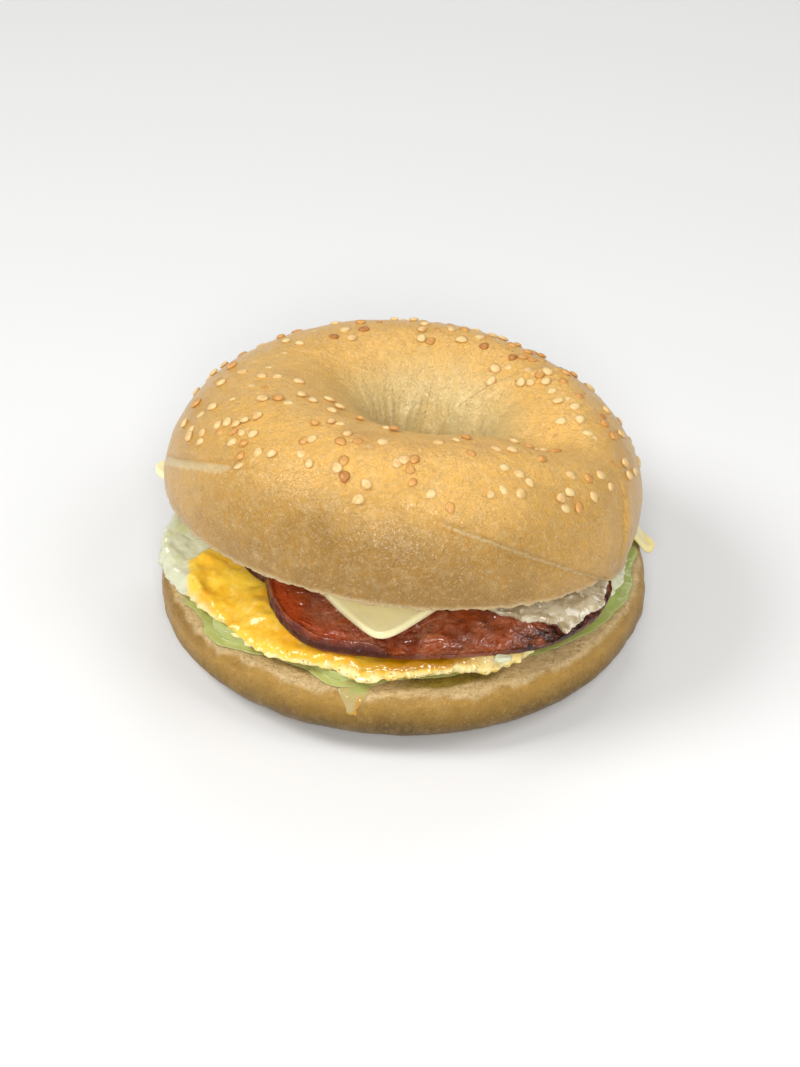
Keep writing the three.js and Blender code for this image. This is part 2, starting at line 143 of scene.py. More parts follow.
def gridFaces(rows, columns, rowsClose):
    # Four-sided faces between neighbouring rows of a grid whose columns close on themselves.
    row = np.arange(rows if rowsClose else rows - 1)[:, None]
    column = np.arange(columns)[None, :]
    nextRow, nextColumn = (row + 1) % rows, (column + 1) % columns
    corners = [row * columns + column, row * columns + nextColumn,
               nextRow * columns + nextColumn, nextRow * columns + column]
    return np.stack(np.broadcast_arrays(*corners), axis=-1).reshape(-1, 4)


def fan(first, columns, pole, outward):
    # Triangles from one ring of a grid to the single point that closes it.
    here = first + np.arange(columns)
    there = first + (np.arange(columns) + 1) % columns
    order = [here, there, np.full(columns, pole)] if outward else [there, here, np.full(columns, pole)]
    return np.stack(order, axis=-1)


def insideOut(points, faces):
    # Whether a closed mesh has its faces pointing inwards, from the sign of the volume inside them.
    volume = 0.0
    for group in faces:
        for k in range(1, group.shape[1] - 1):
            a, b, c = points[group[:, 0]], points[group[:, k]], points[group[:, k + 1]]
            volume += np.einsum("ij,ij->", a, np.cross(b, c))
    return volume < 0


def makePiece(name, points, faces, material, replaced=None, fields=None):
    # points is an array in millimetres, faces a list of arrays of corners, and fields holds named values for
    # each point.
    if insideOut(points, faces):
        faces = [group[:, ::-1] for group in faces]
    mesh = bpy.data.meshes.new(name)
    mesh.vertices.add(len(points))
    mesh.vertices.foreach_set("co", (points * 0.001).astype(np.float32).ravel())
    corners = np.concatenate([group.ravel() for group in faces]).astype(np.int32)
    lengths = np.concatenate([np.full(len(group), group.shape[1]) for group in faces])
    mesh.loops.add(len(corners))
    mesh.loops.foreach_set("vertex_index", corners)
    mesh.polygons.add(len(lengths))
    mesh.polygons.foreach_set("loop_start", np.concatenate([[0], np.cumsum(lengths)[:-1]]).astype(np.int32))
    mesh.polygons.foreach_set("use_smooth", np.ones(len(lengths), bool))
    mesh.update(calc_edges=True)
    for key, values in (fields or {}).items():
        attribute = mesh.attributes.new(key, "FLOAT", "POINT")
        attribute.data.foreach_set("value", np.asarray(values, np.float32).ravel())
    mesh.materials.append(material)
    thing = bpy.data.objects.new(name, mesh)
    bpy.context.collection.objects.link(thing)
    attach(thing, "root")
    if replaced:
        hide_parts(replaced)
    print(name, len(points), "points")
    return thing


def makeRing(name, rows, material, replaced, fields=None):
    # A closed ring from a grid: rows round its section, columns round the hole.
    points = (rows + middle).reshape(-1, 3)
    makePiece(name, points, [gridFaces(rows.shape[0], rows.shape[1], True)], material, replaced, fields)


def slabGrid(shape):
    # A flat piece with a rounded edge: rings out from the middle over the top, ever closer together, round
    # the edge, and back below.
    # Returns x, y and z for each ring and azimuth. With them come the level, which is 1 on the top, 0 half
    # way down the edge and -1 below, the degrees turned round the edge, and how far in from it a point is.
    columns, rings, edgeRings = shape["around"], shape["rings"], shape["edgeRings"]
    azimuth = shape.get("start", 0) + np.arange(columns) * 360 / columns
    share = np.concatenate([1 - (1 - np.arange(1, rings + 1) / rings) ** 1.5, np.ones(edgeRings)])
    turn = np.concatenate([np.zeros(rings), 90 * np.arange(1, edgeRings + 1) / edgeRings])
    share = np.concatenate([share, share[-2::-1]])[:, None]
    side = np.concatenate([np.ones(len(turn)), -np.ones(len(turn) - 1)])[:, None]
    turn = np.concatenate([turn, turn[-2::-1]])[:, None]
    full = shape["radiusAt"](azimuth)[None, :]
    edge = shape["edge"]
    radius = (full - edge) * share + edge * sine(turn)
    x = shape["x"] + radius * cosine(azimuth)
    y = shape["y"] + radius * sine(azimuth)
    low, high = shape["bottomAt"](x, y), shape["topAt"](x, y)
    z = (low + high) / 2 + side * (high - low) / 2 * cosine(turn)
    level = np.broadcast_to(side * cosine(turn), x.shape)
    return x, y, z, level, np.broadcast_to(turn, x.shape), full - radius


def makeSlab(name, x, y, z, material, replaced=None, fields=None):
    # The grid of a flat piece, closed with one point in the middle of its top and one below.
    rows, columns = x.shape
    points = flat(x, y, z) + middle
    poles = np.stack([points[0].mean(axis=0), points[-1].mean(axis=0)])
    faces = [gridFaces(rows, columns, False), fan(0, columns, rows * columns, False),
             fan((rows - 1) * columns, columns, rows * columns + 1, True)]
    closed = {key: np.concatenate([values.ravel(), [values[0].mean(), values[-1].mean()]])
              for key, values in (fields or {}).items()}
    makePiece(name, np.concatenate([points.reshape(-1, 3), poles]), faces, material, replaced, closed)


def shade(code):
    # A six-digit sRGB hex colour as the linear colour that the shaders take.
    values = [int(code[i:i + 2], 16) / 255 for i in (1, 3, 5)]
    return tuple(v / 12.92 if v <= 0.04045 else ((v + 0.055) / 1.055) ** 2.4 for v in values) + (1.0,)


def addNode(tree, kind, inputs=None, output=0, stops=None, **settings):
    # Adds a node with its settings, fills its inputs with values or links, and gives back one of its outputs.
    node = tree.nodes.new("ShaderNode" + kind)
    for key, value in settings.items():
        setattr(node, key, value)
    for key, value in (inputs or {}).items():
        if isinstance(value, bpy.types.NodeSocket):
            tree.links.new(value, node.inputs[key])
        else:
            node.inputs[key].default_value = value
    for i, (place, colour) in enumerate(stops or []):
        if i >= len(node.color_ramp.elements):
            node.color_ramp.elements.new(place)
        node.color_ramp.elements[i].position = place
        node.color_ramp.elements[i].color = colour
    return node.outputs[output] if node.outputs else node


def startMaterial(name, fields=()):
    # An empty material, its place in the piece, and the values that the piece's mesh carries.
    material = bpy.data.materials.new(name)
    material.use_nodes = True
    tree = material.node_tree
    tree.nodes.clear()
    place = addNode(tree, "TexCoord", output="Object")
    carried = [addNode(tree, "Attribute", output="Fac", attribute_name=field) for field in fields]
    return material, tree, place, carried


def blotches(tree, place, size, low, high, strength=1.0, detail=3.0, swirl=0.0):
    # A mask of soft patches about that many millimetres across: noise from low to high becomes 0 to strength.
    wave = addNode(tree, "TexNoise", {"Vector": place, "Scale": 1000 / size, "Detail": detail,
                                      "Distortion": swirl})
    return addNode(tree, "MapRange", {"Value": wave, "From Min": low, "From Max": high, "To Max": strength})


def dots(tree, place, spacing, radius, share):
    # A mask of round dots, that many millimetres apart and in radius, at a share of the places.
    near = addNode(tree, "TexVoronoi", {"Vector": place, "Scale": 1000 / spacing}, "Distance")
    drawn = addNode(tree, "SeparateColor", {0: near.node.outputs["Color"]})
    chosen = addNode(tree, "Math", {0: drawn, 1: share}, operation="LESS_THAN")
    inside = addNode(tree, "MapRange", {"Value": near, "From Min": radius / spacing,
                                        "From Max": 0.55 * radius / spacing})
    return addNode(tree, "Math", {0: inside, 1: chosen}, operation="MULTIPLY")


def strokes(tree, place, size, width, swirl, cover):
    # A mask of short curved strokes: the places where swirling noise crosses its middle, broken up by
    # another noise.
    wave = addNode(tree, "TexNoise", {"Vector": place, "Scale": 1000 / size, "Detail": 1.0,
                                      "Distortion": swirl})
    dark, light = (0, 0, 0, 1), (1, 1, 1, 1)
    line = addNode(tree, "ValToRGB", {0: wave}, stops=[
        (0.5 - width, dark), (0.5, light), (0.5 + width, dark)])
    broken = blotches(tree, place, 1.5 * size, 0.5 - 0.2 * cover, 0.62 - 0.2 * cover)
    return addNode(tree, "Math", {0: line, 1: broken}, operation="MULTIPLY")


def coats(tree, colour, layers):
    # Lays each layer's colour over what is there so far, as far as its mask says.
    for mask, over in layers:
        below = shade(colour) if isinstance(colour, str) else colour
        above = shade(over) if isinstance(over, str) else over
        colour = addNode(tree, "Mix", {0: mask, 6: below, 7: above}, 2, data_type="RGBA")
    return colour


def finish(tree, colour, surface, bumps):
    # The shader with its surface numbers, over bumps given as heights and the millimetres that they reach.
    surface = dict(surface)
    for height, reach in bumps:
        below = {"Normal": surface["Normal"]} if "Normal" in surface else {}
        surface["Normal"] = addNode(tree, "Bump", {"Height": height, "Distance": reach / 1000, **below})
    if "Coat Weight" in surface:
        surface["Coat Normal"] = surface["Normal"]  # the wet film follows the bumps
    shader = addNode(tree, "BsdfPrincipled", {"Base Color": colour, **surface})
    addNode(tree, "OutputMaterial", {"Surface": shader})


# Baked bagel crust, boiled and then baked: a thin skin with a soft sheen, golden where the oven's heat fell
# and paler low down and in the hole. Its glaze has dried in curved strokes about a millimetre apart. The pale
# colour laid over those strokes is partly the glaze's own streaks and partly painted sheen.
crustLook = {
    "tan": "#946c28", "golden": "#c99a49", "bright": "#dfad58", "brown": "#ba863a", "pale": "#ccb57c",
    "crumb": "#c6aa7a", "poreShade": "#8c6c3e", "line": "#d6bf8e", "streakAndSheen": "#ecd09a", "speck": "#7d4f20",
    "stainAndShade": "#85702a", "roughness": 0.3, "strokeCover": 0.6, "specular": 0.4, "coat": 0.2,
    "coatRoughness": 0.24,
}


def crustMaterial(name, look):
    carried = ("golden", "pale", "line", "crumb", "stainAndShade")
    material, tree, place, (golden, pale, line, crumb, stainAndShade) = startMaterial(name, carried)
    cloudy = blotches(tree, place, 11, 0.3, 0.7, 0.17)
    golden = addNode(tree, "Math", {0: golden, 1: cloudy}, operation="ADD")
    skin = addNode(tree, "ValToRGB", {0: golden}, stops=[
        (0.0, shade(look["tan"])), (0.45, shade(look["golden"])), (0.75, shade(look["bright"])),
        (1.0, shade(look["brown"]))])
    glaze = strokes(tree, place, 1.5, 0.035, 1.8, look["strokeCover"])
    fine = strokes(tree, place, 0.8, 0.05, 1.0, look["strokeCover"])
    uneven = addNode(tree, "Math", {0: line, 1: blotches(tree, place, 0.9, 0.3, 0.7, 0.55)}, operation="ADD")
    seamMask = addNode(tree, "MapRange", {"Value": uneven, "From Min": 0.85, "From Max": 0.25,
                                          "To Max": 0.75})
    skin = coats(tree, skin, [
        (pale, look["pale"]),
        (blotches(tree, place, 3, 0.50, 0.72, 0.16, 4), look["line"]),
        # pale streaks: partly the glaze's own, partly painted sheen
        (addNode(tree, "Math", {0: glaze, 1: 0.42}, operation="MULTIPLY"), look["streakAndSheen"]),
        (addNode(tree, "Math", {0: fine, 1: 0.22}, operation="MULTIPLY"), look["streakAndSheen"]),
        (blotches(tree, place, 1.1, 0.60, 0.75, 0.25, 2), look["tan"]),
        (blotches(tree, place, 1.6, 0.62, 0.70, 0.12, 1), look["streakAndSheen"]),
        (seamMask, look["line"]),
        (dots(tree, place, 4.2, 0.24, 0.35), look["speck"]),
    ])
    # Darker pores in the crumb: painted shade in the holes.
    pores = dots(tree, place, 1.3, 0.42, 0.7)
    soft = coats(tree, look["crumb"], [
        (blotches(tree, place, 1.2, 0.4, 0.7, 0.5), look["line"]),
        (addNode(tree, "Math", {0: pores, 1: 0.22}, operation="MULTIPLY"), look["poreShade"]),
        (stainAndShade, look["stainAndShade"]),
    ])
    holes = addNode(tree, "Math", {0: pores, 1: crumb}, operation="MULTIPLY")
    colour = coats(tree, skin, [(crumb, soft)])
    finish(tree, colour, {"Roughness": look["roughness"], "IOR": 1.45, "Specular IOR Level": look["specular"],
           "Coat Weight": look["coat"], "Coat Roughness": look["coatRoughness"], "Subsurface Weight": 0.1,
           "Subsurface Radius": (1.0, 0.6, 0.3), "Subsurface Scale": 0.0015},
           [(blotches(tree, place, 3.2, 0, 1), 0.35), (blotches(tree, place, 1.1, 0, 1, 1, 2, 1.0), 0.32),
            (glaze, 0.09), (fine, 0.05), (holes, -0.12)])
    return material


# Hulled sesame seeds: smooth, waxy skins. The pale ones are raw inside, and the toasted ones took the heat.
seedLooks = {
    "pale": {"skin": "#dfc288", "toast": "#d1a362"},
    "toasted": {"skin": "#cf9b55", "toast": "#bb843f"},
    "dark": {"skin": "#b5793a", "toast": "#955c28"},
}


def seedMaterial(name, look):
    material, tree, place, _ = startMaterial(name)
    colour = coats(tree, look["skin"], [(blotches(tree, place, 2.2, 0.4, 0.65, 0.9), look["toast"])])
    finish(tree, colour, {"Roughness": 0.34, "IOR": 1.47, "Subsurface Weight": 0.15,
           "Subsurface Radius": (1.0, 0.6, 0.3), "Subsurface Scale": 0.0008},
           [(blotches(tree, place, 0.5, 0, 1), 0.05)])
    return material


# The places and main shapes repeat the formulas of the solids. Lengths are in millimetres, angles in degrees.
bottomHalf = {
    "sideRadius": 59, "frontRadius": 55, "backRadius": 57, "widestAt": 10.4, "cutAt": 17.2, "footShare": 0.69,
    "shoulder": 3.6, "holeRadius": 8.5, "holeSwell": 2.6, "pressed": 2.2,
    "around": 640, "crumble": 0.22,  # crumble is how rough the cut face is
}
topHalf = {
    "outerRadius": 56.6, "crestRadius": 33.7, "crestRise": 24.6, "holeRadius": 10.4, "cutDepth": 6.4,
    "frontUp": 12.6, "rightDown": 6.3, "x": 0.85, "y": 0.9, "z": 37.9,
    "around": 600, "outerSteps": 80, "innerSteps": 70, "cutSteps": 10, "lumps": 0.35, "pleats": 0.5,
}
cutAngle = math.degrees(math.asin(topHalf["cutDepth"] / topHalf["crestRise"]))
seam = {
    "peakAt": -112, "peak": 47, "leftSpan": 62, "leftDrop": 39, "rightSpan": 82, "rightDrop": 66, "lip": 1.5,
}
crease = {"section": 16, "reach": 22, "azimuth": -25, "lip": 0.8}  # a short fold low on the right
lobe = {"edgeAt": 28, "curl": 0.0065, "height": 2.2, "fade": 26}  # the dough's end, lapped over the crest
dip = {"azimuth": -24, "section": 98, "depth": 6.5, "azimuthWidth": 19, "sectionWidth": 30}  # in the crest
egg = {"thickness": 4.5, "share": 0.36, "edge": 2, "thinnest": 1.2, "leftHeap": 2.4}
spread = {"thickness": 1.2, "innerRadius": 14, "around": 720, "knotSteps": 6, "squeezed": 0.75}
frontBacon = {"x": 8, "y": -22, "halfWidth": 41, "halfDepth": 27, "power": 2.5, "turn": 3, "thickness": 3.2,
              "share": 0.25, "curl": 2.2, "swell": 2.4}
backBacon = {"x": -12, "y": -4, "halfWidth": 29, "halfDepth": 23, "power": 2.3, "turn": -8, "thickness": 2.3,
             "share": 0.17}
cheese = {
    "x": 0.7, "y": 13.4, "side": 90, "turn": 39.3, "thickness": 2, "squareness": 26, "hang": 0.6, "fall": 0.8,
    "frontAt": 264, "frontWidth": 30, "frontSoftness": 9, "rightSag": 4.4, "bead": 0.1,
}
whiteFlap = {"x": 35.4, "y": -33, "thickness": 1.6, "thinEnd": 0.9}

spreadOutline = roundOutline([
    [0, 54.4], [15, 52.5], [30, 46], [60, 41], [90, 41], [120, 43], [150, 49], [180, 53], [196, 52.9],
    [204, 52.6], [210, 52.4], [213, 53.5], [219, 53.4], [224, 51.9], [228, 50.4], [232, 48.4], [243, 48],
    [248, 49.6], [252, 51.2], [257, 50.8], [262, 49.2], [267, 47.5], [285, 46], [298, 47], [305, 47.6],
    [311, 49.2], [318, 50.8], [328, 52.2], [337, 53.4], [346, 54.3],
])
beadHeight = roundOutline([  # how high the spread is squeezed up along its edge
    [0, 0.8], [15, 0.4], [30, 0], [180, 0], [196, 0.5], [201, 1.4], [205, 1.5], [209, 0.7], [213, 2.0],
    [218, 2.7], [223, 2.1], [228, 0.9], [233, 0.1], [243, 0.1], [248, 0.3], [253, 0.5], [259, 0.3],
    [265, 0], [302, 0], [307, 0.5], [313, 0.8], [321, 0.6], [329, 1.1], [336, 0.7], [344, 1.2], [352, 0.9],
])
eggRadius = roundOutline([
    [0, 53], [30, 46], [60, 42], [90, 43], [120, 47], [150, 52], [180, 57.5], [188, 58.6], [203, 54.6],
    [213, 52.4], [223, 52.3], [237, 51.9], [248, 50.4], [259, 51.4], [270, 50.5], [283, 49.8], [294, 52.6],
    [304, 51.4], [318, 48], [330, 48.5], [345, 52.4],
])


def undersideAt(x, y):
    # The height of the flat cut under the tilted top half.
    right, front = topHalf["rightDown"], topHalf["frontUp"]
    fall = sine(right) * (x - topHalf["x"]) + sine(front) * cosine(right) * (y - topHalf["y"])
    return topHalf["z"] - (topHalf["cutDepth"] + fall) / (cosine(front) * cosine(right))


def cutFaceAt(y):
    # The cut face of the bottom half: level in front, pressed down where the top half bears on it.
    return bottomHalf["cutAt"] - bottomHalf["pressed"] * smooth(0, 42, y)


def bottomRadius(azimuth):
    # Wider at the sides than at the front, and a little uneven.
    end = np.where(sine(azimuth) < 0, bottomHalf["frontRadius"], bottomHalf["backRadius"])
    bulge = 1.2 * np.maximum(0, cosine(azimuth + 42)) ** 4
    even = end + (bottomHalf["sideRadius"] - end) * cosine(azimuth) ** 2
    return even + bulge + 0.35 * sine(3 * azimuth + 20)


def roomAt(x, y):
    # The height that the filling has for itself between the two cut faces.
    return undersideAt(x, y) - cutFaceAt(y) - spread["thickness"] - 6 * gap


def eggBottomAt(x, y):
    return cutFaceAt(y) + spread["thickness"] + 2 * gap


def eggTopAt(x, y):
    lumps = 0.35 * np.sin(x * 0.21 + 1) * np.sin(y * 0.17)
    heap = egg["leftHeap"] * smooth(-43, -57, x)
    pressed = egg["share"] * roomAt(x, y)
    thick = np.minimum(egg["thickness"] + lumps, pressed) + heap
    return eggBottomAt(x, y) + np.maximum(egg["thinnest"], thick)


def baconThickness(rasher, x, y):
    return np.minimum(rasher["thickness"], rasher["share"] * roomAt(x, y))


def backBaconTopAt(x, y):
    return eggTopAt(x, y) + gap + baconThickness(backBacon, x, y)


def frontBaconBottomAt(x, y):
    # On the egg, over the other slice, with its left end curled up.
    climb = (baconThickness(backBacon, x, y) + gap) * overOval(backBacon, x, y)
    return eggTopAt(x, y) + gap + climb + frontBacon["curl"] * smooth(-18, -34, x) * smooth(-12, -24, y)


def frontBaconTopAt(x, y):
    swell = frontBacon["swell"] * np.maximum(0, 1 - ovalShare(frontBacon, x, y) ** 3) * smooth(-2, -22, y)
    return frontBaconBottomAt(x, y) + baconThickness(frontBacon, x, y) + swell


def fillingTopAt(x, y):
    # What the cheese and the egg-white flap lie on.
    back = eggTopAt(x, y) + (baconThickness(backBacon, x, y) + gap) * overOval(backBacon, x, y)
    return back + (frontBaconTopAt(x, y) - back) * overOval(frontBacon, x, y)


def cheeseBottomAt(x, y):
    azimuth, reach = np.degrees(np.arctan2(y, x)), np.hypot(x, y)
    spreadUnder = (spread["thickness"] + gap) * (1 - smooth(0, 3, reach - spreadOutline(azimuth)))
    onBread = cutFaceAt(y) + gap + spreadUnder
    air = np.maximum(2 * smooth(5, -15, y), 8 * smooth(-34, -46, x))
    onEgg = fillingTopAt(x, y) + gap * (1.5 + air)
    past = smooth(1.05, 1.2, reach / eggRadius(azimuth)) * smooth(-30, 0, y) * smooth(-57, -46, x)
    return onEgg + (onBread - onEgg) * past


def cheeseTopAt(x, y):
    return np.minimum(cheeseBottomAt(x, y) + cheese["thickness"], undersideAt(x, y) - gap)


def wrapped(degrees):
    return np.mod(degrees + 180, 360) - 180


def seamAt(azimuth):
    # The section angle at which the seam lies: an arch with its peak left of the front.
    side = azimuth - seam["peakAt"]
    span = np.where(side < 0, seam["leftSpan"], seam["rightSpan"])
    drop = np.where(side < 0, seam["leftDrop"], seam["rightDrop"])
    return seam["peak"] - drop * np.abs(side / span) ** 1.5


def topSection(azimuth, section):
    # The top half in its own level frame. The section angle runs from 0 at the widest line through 90 at the
    # crest to 180 in the throat of the hole. Returns the radius and height, and how far off the nearest pale
    # line is.
    at = wrapped(azimuth)
    c, s = cosine(azimuth), sine(azimuth)
    crest = topHalf["crestRadius"] + 2 * c
    hole = topHalf["holeRadius"] + 4.4 * c + 2.9 * s
    rise = (topHalf["crestRise"] - 0.7 * cosine(2 * azimuth) + 0.5 * sine(2 * azimuth)
            + 2.4 * np.maximum(0, s) ** 2)
    outer = topHalf["outerRadius"] + 1.4 * np.maximum(0, cosine(azimuth - 145)) ** 2
    reach = np.where(section < 90, outer - crest, crest - hole)
    above = 0.42 * (section - seamAt(at))
    ends = smooth(-182, -172, at) * (1 - smooth(-24, -14, at))
    groove = -0.8 * hill(above, 0, 1.2)
    rightLip = smooth(-100, -60, at) * smooth(-0.6, 1, above) * np.exp(-np.maximum(0, above) / 10)
    leftLip = smooth(-120, -150, at) * smooth(0.6, -1, above) * np.exp(np.minimum(0, above) / 9)
    faded = np.maximum(smooth(-100, -78, at), smooth(-134, -144, at))
    fold = ends * (groove * (0.1 + 0.9 * faded) + seam["lip"] * (rightLip + 0.7 * leftLip))
    beside = 0.9 * (at - crease["azimuth"] - 0.16 * (section - crease["section"]))
    along = hill(section, crease["section"], crease["reach"])
    fold = fold + along * crease["lip"] * (smooth(-0.6, 0.9, beside) * np.exp(-np.maximum(0, beside) / 5)
                                           - 0.5 * hill(beside, 0, 0.9))
    before = lobe["edgeAt"] + lobe["curl"] * (section - 88) ** 2 - at
    inside = smooth(62, 84, section) * (1 - smooth(178, 195, section))
    swelling = lobe["height"] * inside * smooth(-1, 1.6, before)
    swelling = swelling * np.exp(-np.maximum(0, before) / lobe["fade"])
    dipped = hill(at, dip["azimuth"], dip["azimuthWidth"])
    dipped = dipped * hill(section, dip["section"], dip["sectionWidth"])
    lumps = 0.5 * sine(3 * at + 50) * sine(2 * section + 20)
    relief = fold + swelling - dip["depth"] * dipped + lumps
    radius = crest + (reach + relief) * cosine(section)
    z = (rise + relief) * sine(section)
    torn = 0.9 * smooth(-134, -146, at)  # the left end is a wider strip
    seamAway = np.abs(above + 0.1 + 1.3 * torn) - torn + 4 * (1 - ends * faded)
    lobeAway = 0.3 * np.abs(before) + 4 * (1 - inside)
    return radius, z, np.minimum(seamAway, lobeAway)


def topPoints(azimuth, section):
    radius, z, _ = topSection(azimuth, section)
    return flat(radius * cosine(azimuth), radius * sine(azimuth), z)


# The top half's place: its front raised and its right side lowered.
tilt = np.array(Matrix.Rotation(math.radians(-topHalf["frontUp"]), 3, "X")
                @ Matrix.Rotation(math.radians(topHalf["rightDown"]), 3, "Y"))
lift = np.array([topHalf["x"], topHalf["y"], topHalf["z"]])


def makeTopCrust():
    # Columns run round the hole. Rows run over the crust from the outer edge of the cut to the inner one,
    # and back across the flat cut. Along the outward normal the crust has lumps and, in the hole, pleats.
    # Its rim is torn.
    azimuth = (np.arange(topHalf["around"]) * 360 / topHalf["around"])[None, :]
    section = np.concatenate([np.linspace(-cutAngle, 60, topHalf["outerSteps"]),
                              np.linspace(60, 180 + cutAngle, topHalf["innerSteps"])[1:]])[:, None]
    azimuth, section = np.broadcast_arrays(azimuth, section)
    radius, z, line = topSection(azimuth, section)
    skin = flat(radius * cosine(azimuth), radius * sine(azimuth), z)
    inHole = smooth(108, 138, section)
    bend = 9 * noise(skin, 8, 5)
    pleat = around(azimuth + bend, 46, 3, section * 0.025)
    pleat = pleat + 0.6 * around(azimuth + bend, 105, 12, section * 0.04)
    pleat = pleat * smooth(-0.5, 0.4, noise(skin, 11, 13))
    lumps = topHalf["lumps"] * (noise(skin, 13, 1) + 0.4 * noise(skin, 5, 2)) + 0.06 * noise(skin, 1.9, 4)
    rise = lumps + topHalf["pleats"] * inHole * pleat * (1 - 0.5 * smooth(170, 195, section))
    out = flat(cosine(section) * cosine(azimuth), cosine(section) * sine(azimuth), sine(section))
    skin = skin + out * rise[..., None]
    low = 1 - smooth(0, 3.4, section + cutAngle)
    skin[..., 2] += low * (0.5 * noise(skin, 1.8, 7) + 0.4 * noise(skin, 0.9, 8))
    skin[0, :, 2] = np.minimum(skin[0, :, 2], -topHalf["cutDepth"] + 0.5)
    share = (np.arange(1, topHalf["cutSteps"]) / topHalf["cutSteps"])[:, None, None]
    cut = skin[-1][None] * (1 - share) + skin[0][None] * share
    cut[..., 2] = -topHalf["cutDepth"] + 0.28 * noise(cut, 2.2, 9) + 0.18 * noise(cut, 1.0, 10)
    rows = np.concatenate([skin, cut]) @ tilt.T + lift
    # Duller, darker tan low on the front and near the cut: partly less baking, partly painted shade.
    lessBakedAndShaded = hill(wrapped(azimuth + 97), 0, 46) * (1 - smooth(14, 48, section))
    golden = 0.41 + 0.22 * smooth(30, 80, section) - 0.5 * lessBakedAndShaded - 0.12 * (1 - smooth(-14, 12, section))
    golden = golden + 0.12 * hill(wrapped(azimuth + 97), 0, 60) * hill(section, 78, 16)
    pale = 0.9 * smooth(104, 150, section) + 0.2 * inHole * pleat
    onSkin = {"golden": golden, "pale": np.clip(pale, 0, 1), "line": line, "stainAndShade": 0 * golden,
              "crumb": np.clip(low * 1.1, 0, 1)}
    onCut = {"golden": 0, "pale": 0, "line": 4, "stainAndShade": 0, "crumb": 1}
    fields = {key: np.concatenate([onSkin[key], np.full(cut.shape[:2], float(onCut[key]))]) for key in onSkin}
    makeRing("topCrust", rows, crustMaterial("bakedBagelCrust", crustLook), "top_half", fields)


# Each listed seed's azimuth and section angle on the crust. The sizes are in millimetres. tries and apart are
# for the seeds that are strewn over the back, paleUpTo and toastedUpTo say which kind a draw gives, and
# drowned is the share of the seeds that lie half sunk in the glaze.
seeds = {
    "length": 2.95, "width": 2.35, "thickness": 1.1, "around": 12, "rings": 4,
    "tries": 1170, "apart": 2.6, "paleUpTo": 0.58, "toastedUpTo": 0.93, "drowned": 0.28,
    "pale": [
        (144, 83), (144, 74), (130, 75), (155, 82), (164, 71), (171, 81), (173, 67), (-179, 79), (-178, 87),
        (-172, 73), (177, 56), (-164, 66), (-158, 74), (-167, 61), (-150, 84), (-174, 98), (-156, 95),
        (-148, 97), (-152, 109), (-134, 98), (-139, 108), (-122, 88), (-125, 85), (-115, 78), (-124, 66),
        (-102, 79), (-105, 105), (-151, 58), (-149, 64), (-156, 51), (-152, 53), (-158, 46), (-147, 51),
        (-143, 54), (-161, 37), (-169, 31), (-166, 29), (-171, 41), (-169, 49), (-175, 29), (-137, 47),
        (-147, 44), (-159, 33), (-132, 49), (-139, 35), (-124, 55), (-120, 51), (-112, 53), (-103, 48),
        (-104, 39), (-96, 64), (122, 97), (87, 87), (88, 98), (76, 91), (88, 107), (69, 103), (63, 92),
        (41, 107), (45, 114), (33, 99), (24, 93), (24, 112), (21, 107), (18, 98), (41, 123), (11, 97),
        (6, 88), (4, 95), (1, 84), (9, 59), (-7, 93), (-6, 80), (-12, 72), (-13, 66), (-1, 50), (-82, 90),
        (-74, 95), (-61, 84), (-56, 81), (-63, 66), (-59, 62), (-57, 55), (-70, 49), (-66, 52), (-61, 49),
        (-45, 45), (-49, 43), (-48, 37), (-35, 60), (-29, 47), (-41, 55), (-28, 38), (-37, 38), (-14, 42),
        (-16, 35), (-10, 32), (-86, 48), (-94, 67), (121, 86),
    ],
    "toasted": [
        (134, 71), (112, 80), (105, 82), (164, 57), (172, 52), (-180, 39), (-168, 79), (-155, 81),
        (-121, 105), (-101, 101), (-129, 78), (-126, 63), (-115, 70), (-110, 74), (-106, 75), (-155, 44),
        (-150, 49), (-143, 47), (-141, 40), (81, 95), (71, 86), (83, 109), (61, 85), (52, 82), (50, 92),
        (45, 80), (42, 91), (39, 87), (39, 77), (23, 99), (23, 81), (17, 87), (8, 80), (-3, 63), (-7, 56),
        (-14, 94), (-69, 98), (-47, 71), (-72, 78), (-35, 49), (-20, 47), (-91, 68), (-92, 61), (-91, 53),
        (-81, 41), (-44, 35), (12, 75), (-111, 58),
    ],
    "dark": [
        (-109, 49), (129, 90), (114, 91), (58, 101), (44, 98), (2, 64),
    ],
}


def seedDensity(azimuth, section):
    # None low on the front, most over the crest and the sides, in clumps.
    at = wrapped(azimuth)
    front = hill(at, -96, 34)
    lowest = 16 + 24 * front
    band = smooth(lowest - 6, lowest + 14, section) * (1 - smooth(90, 112, section))
    clumps = sine(5 * at + 3 * section) * sine(7 * at - 4 * section + 60)
    return band * (0.62 + 0.38 * clumps) * (1 - 0.45 * front * (1 - smooth(60, 80, section)))


def seedFrame(azimuth, section):
    # A point on the crust, with the direction along it and the one straight out.
    here, beside, above = topPoints(np.array([azimuth, azimuth + 0.5, azimuth]),
                                    np.array([section, section, section + 0.5]))
    along = (beside - here) / np.linalg.norm(beside - here)
    out = np.cross(along, above - here)
    return here, along, out / np.linalg.norm(out)


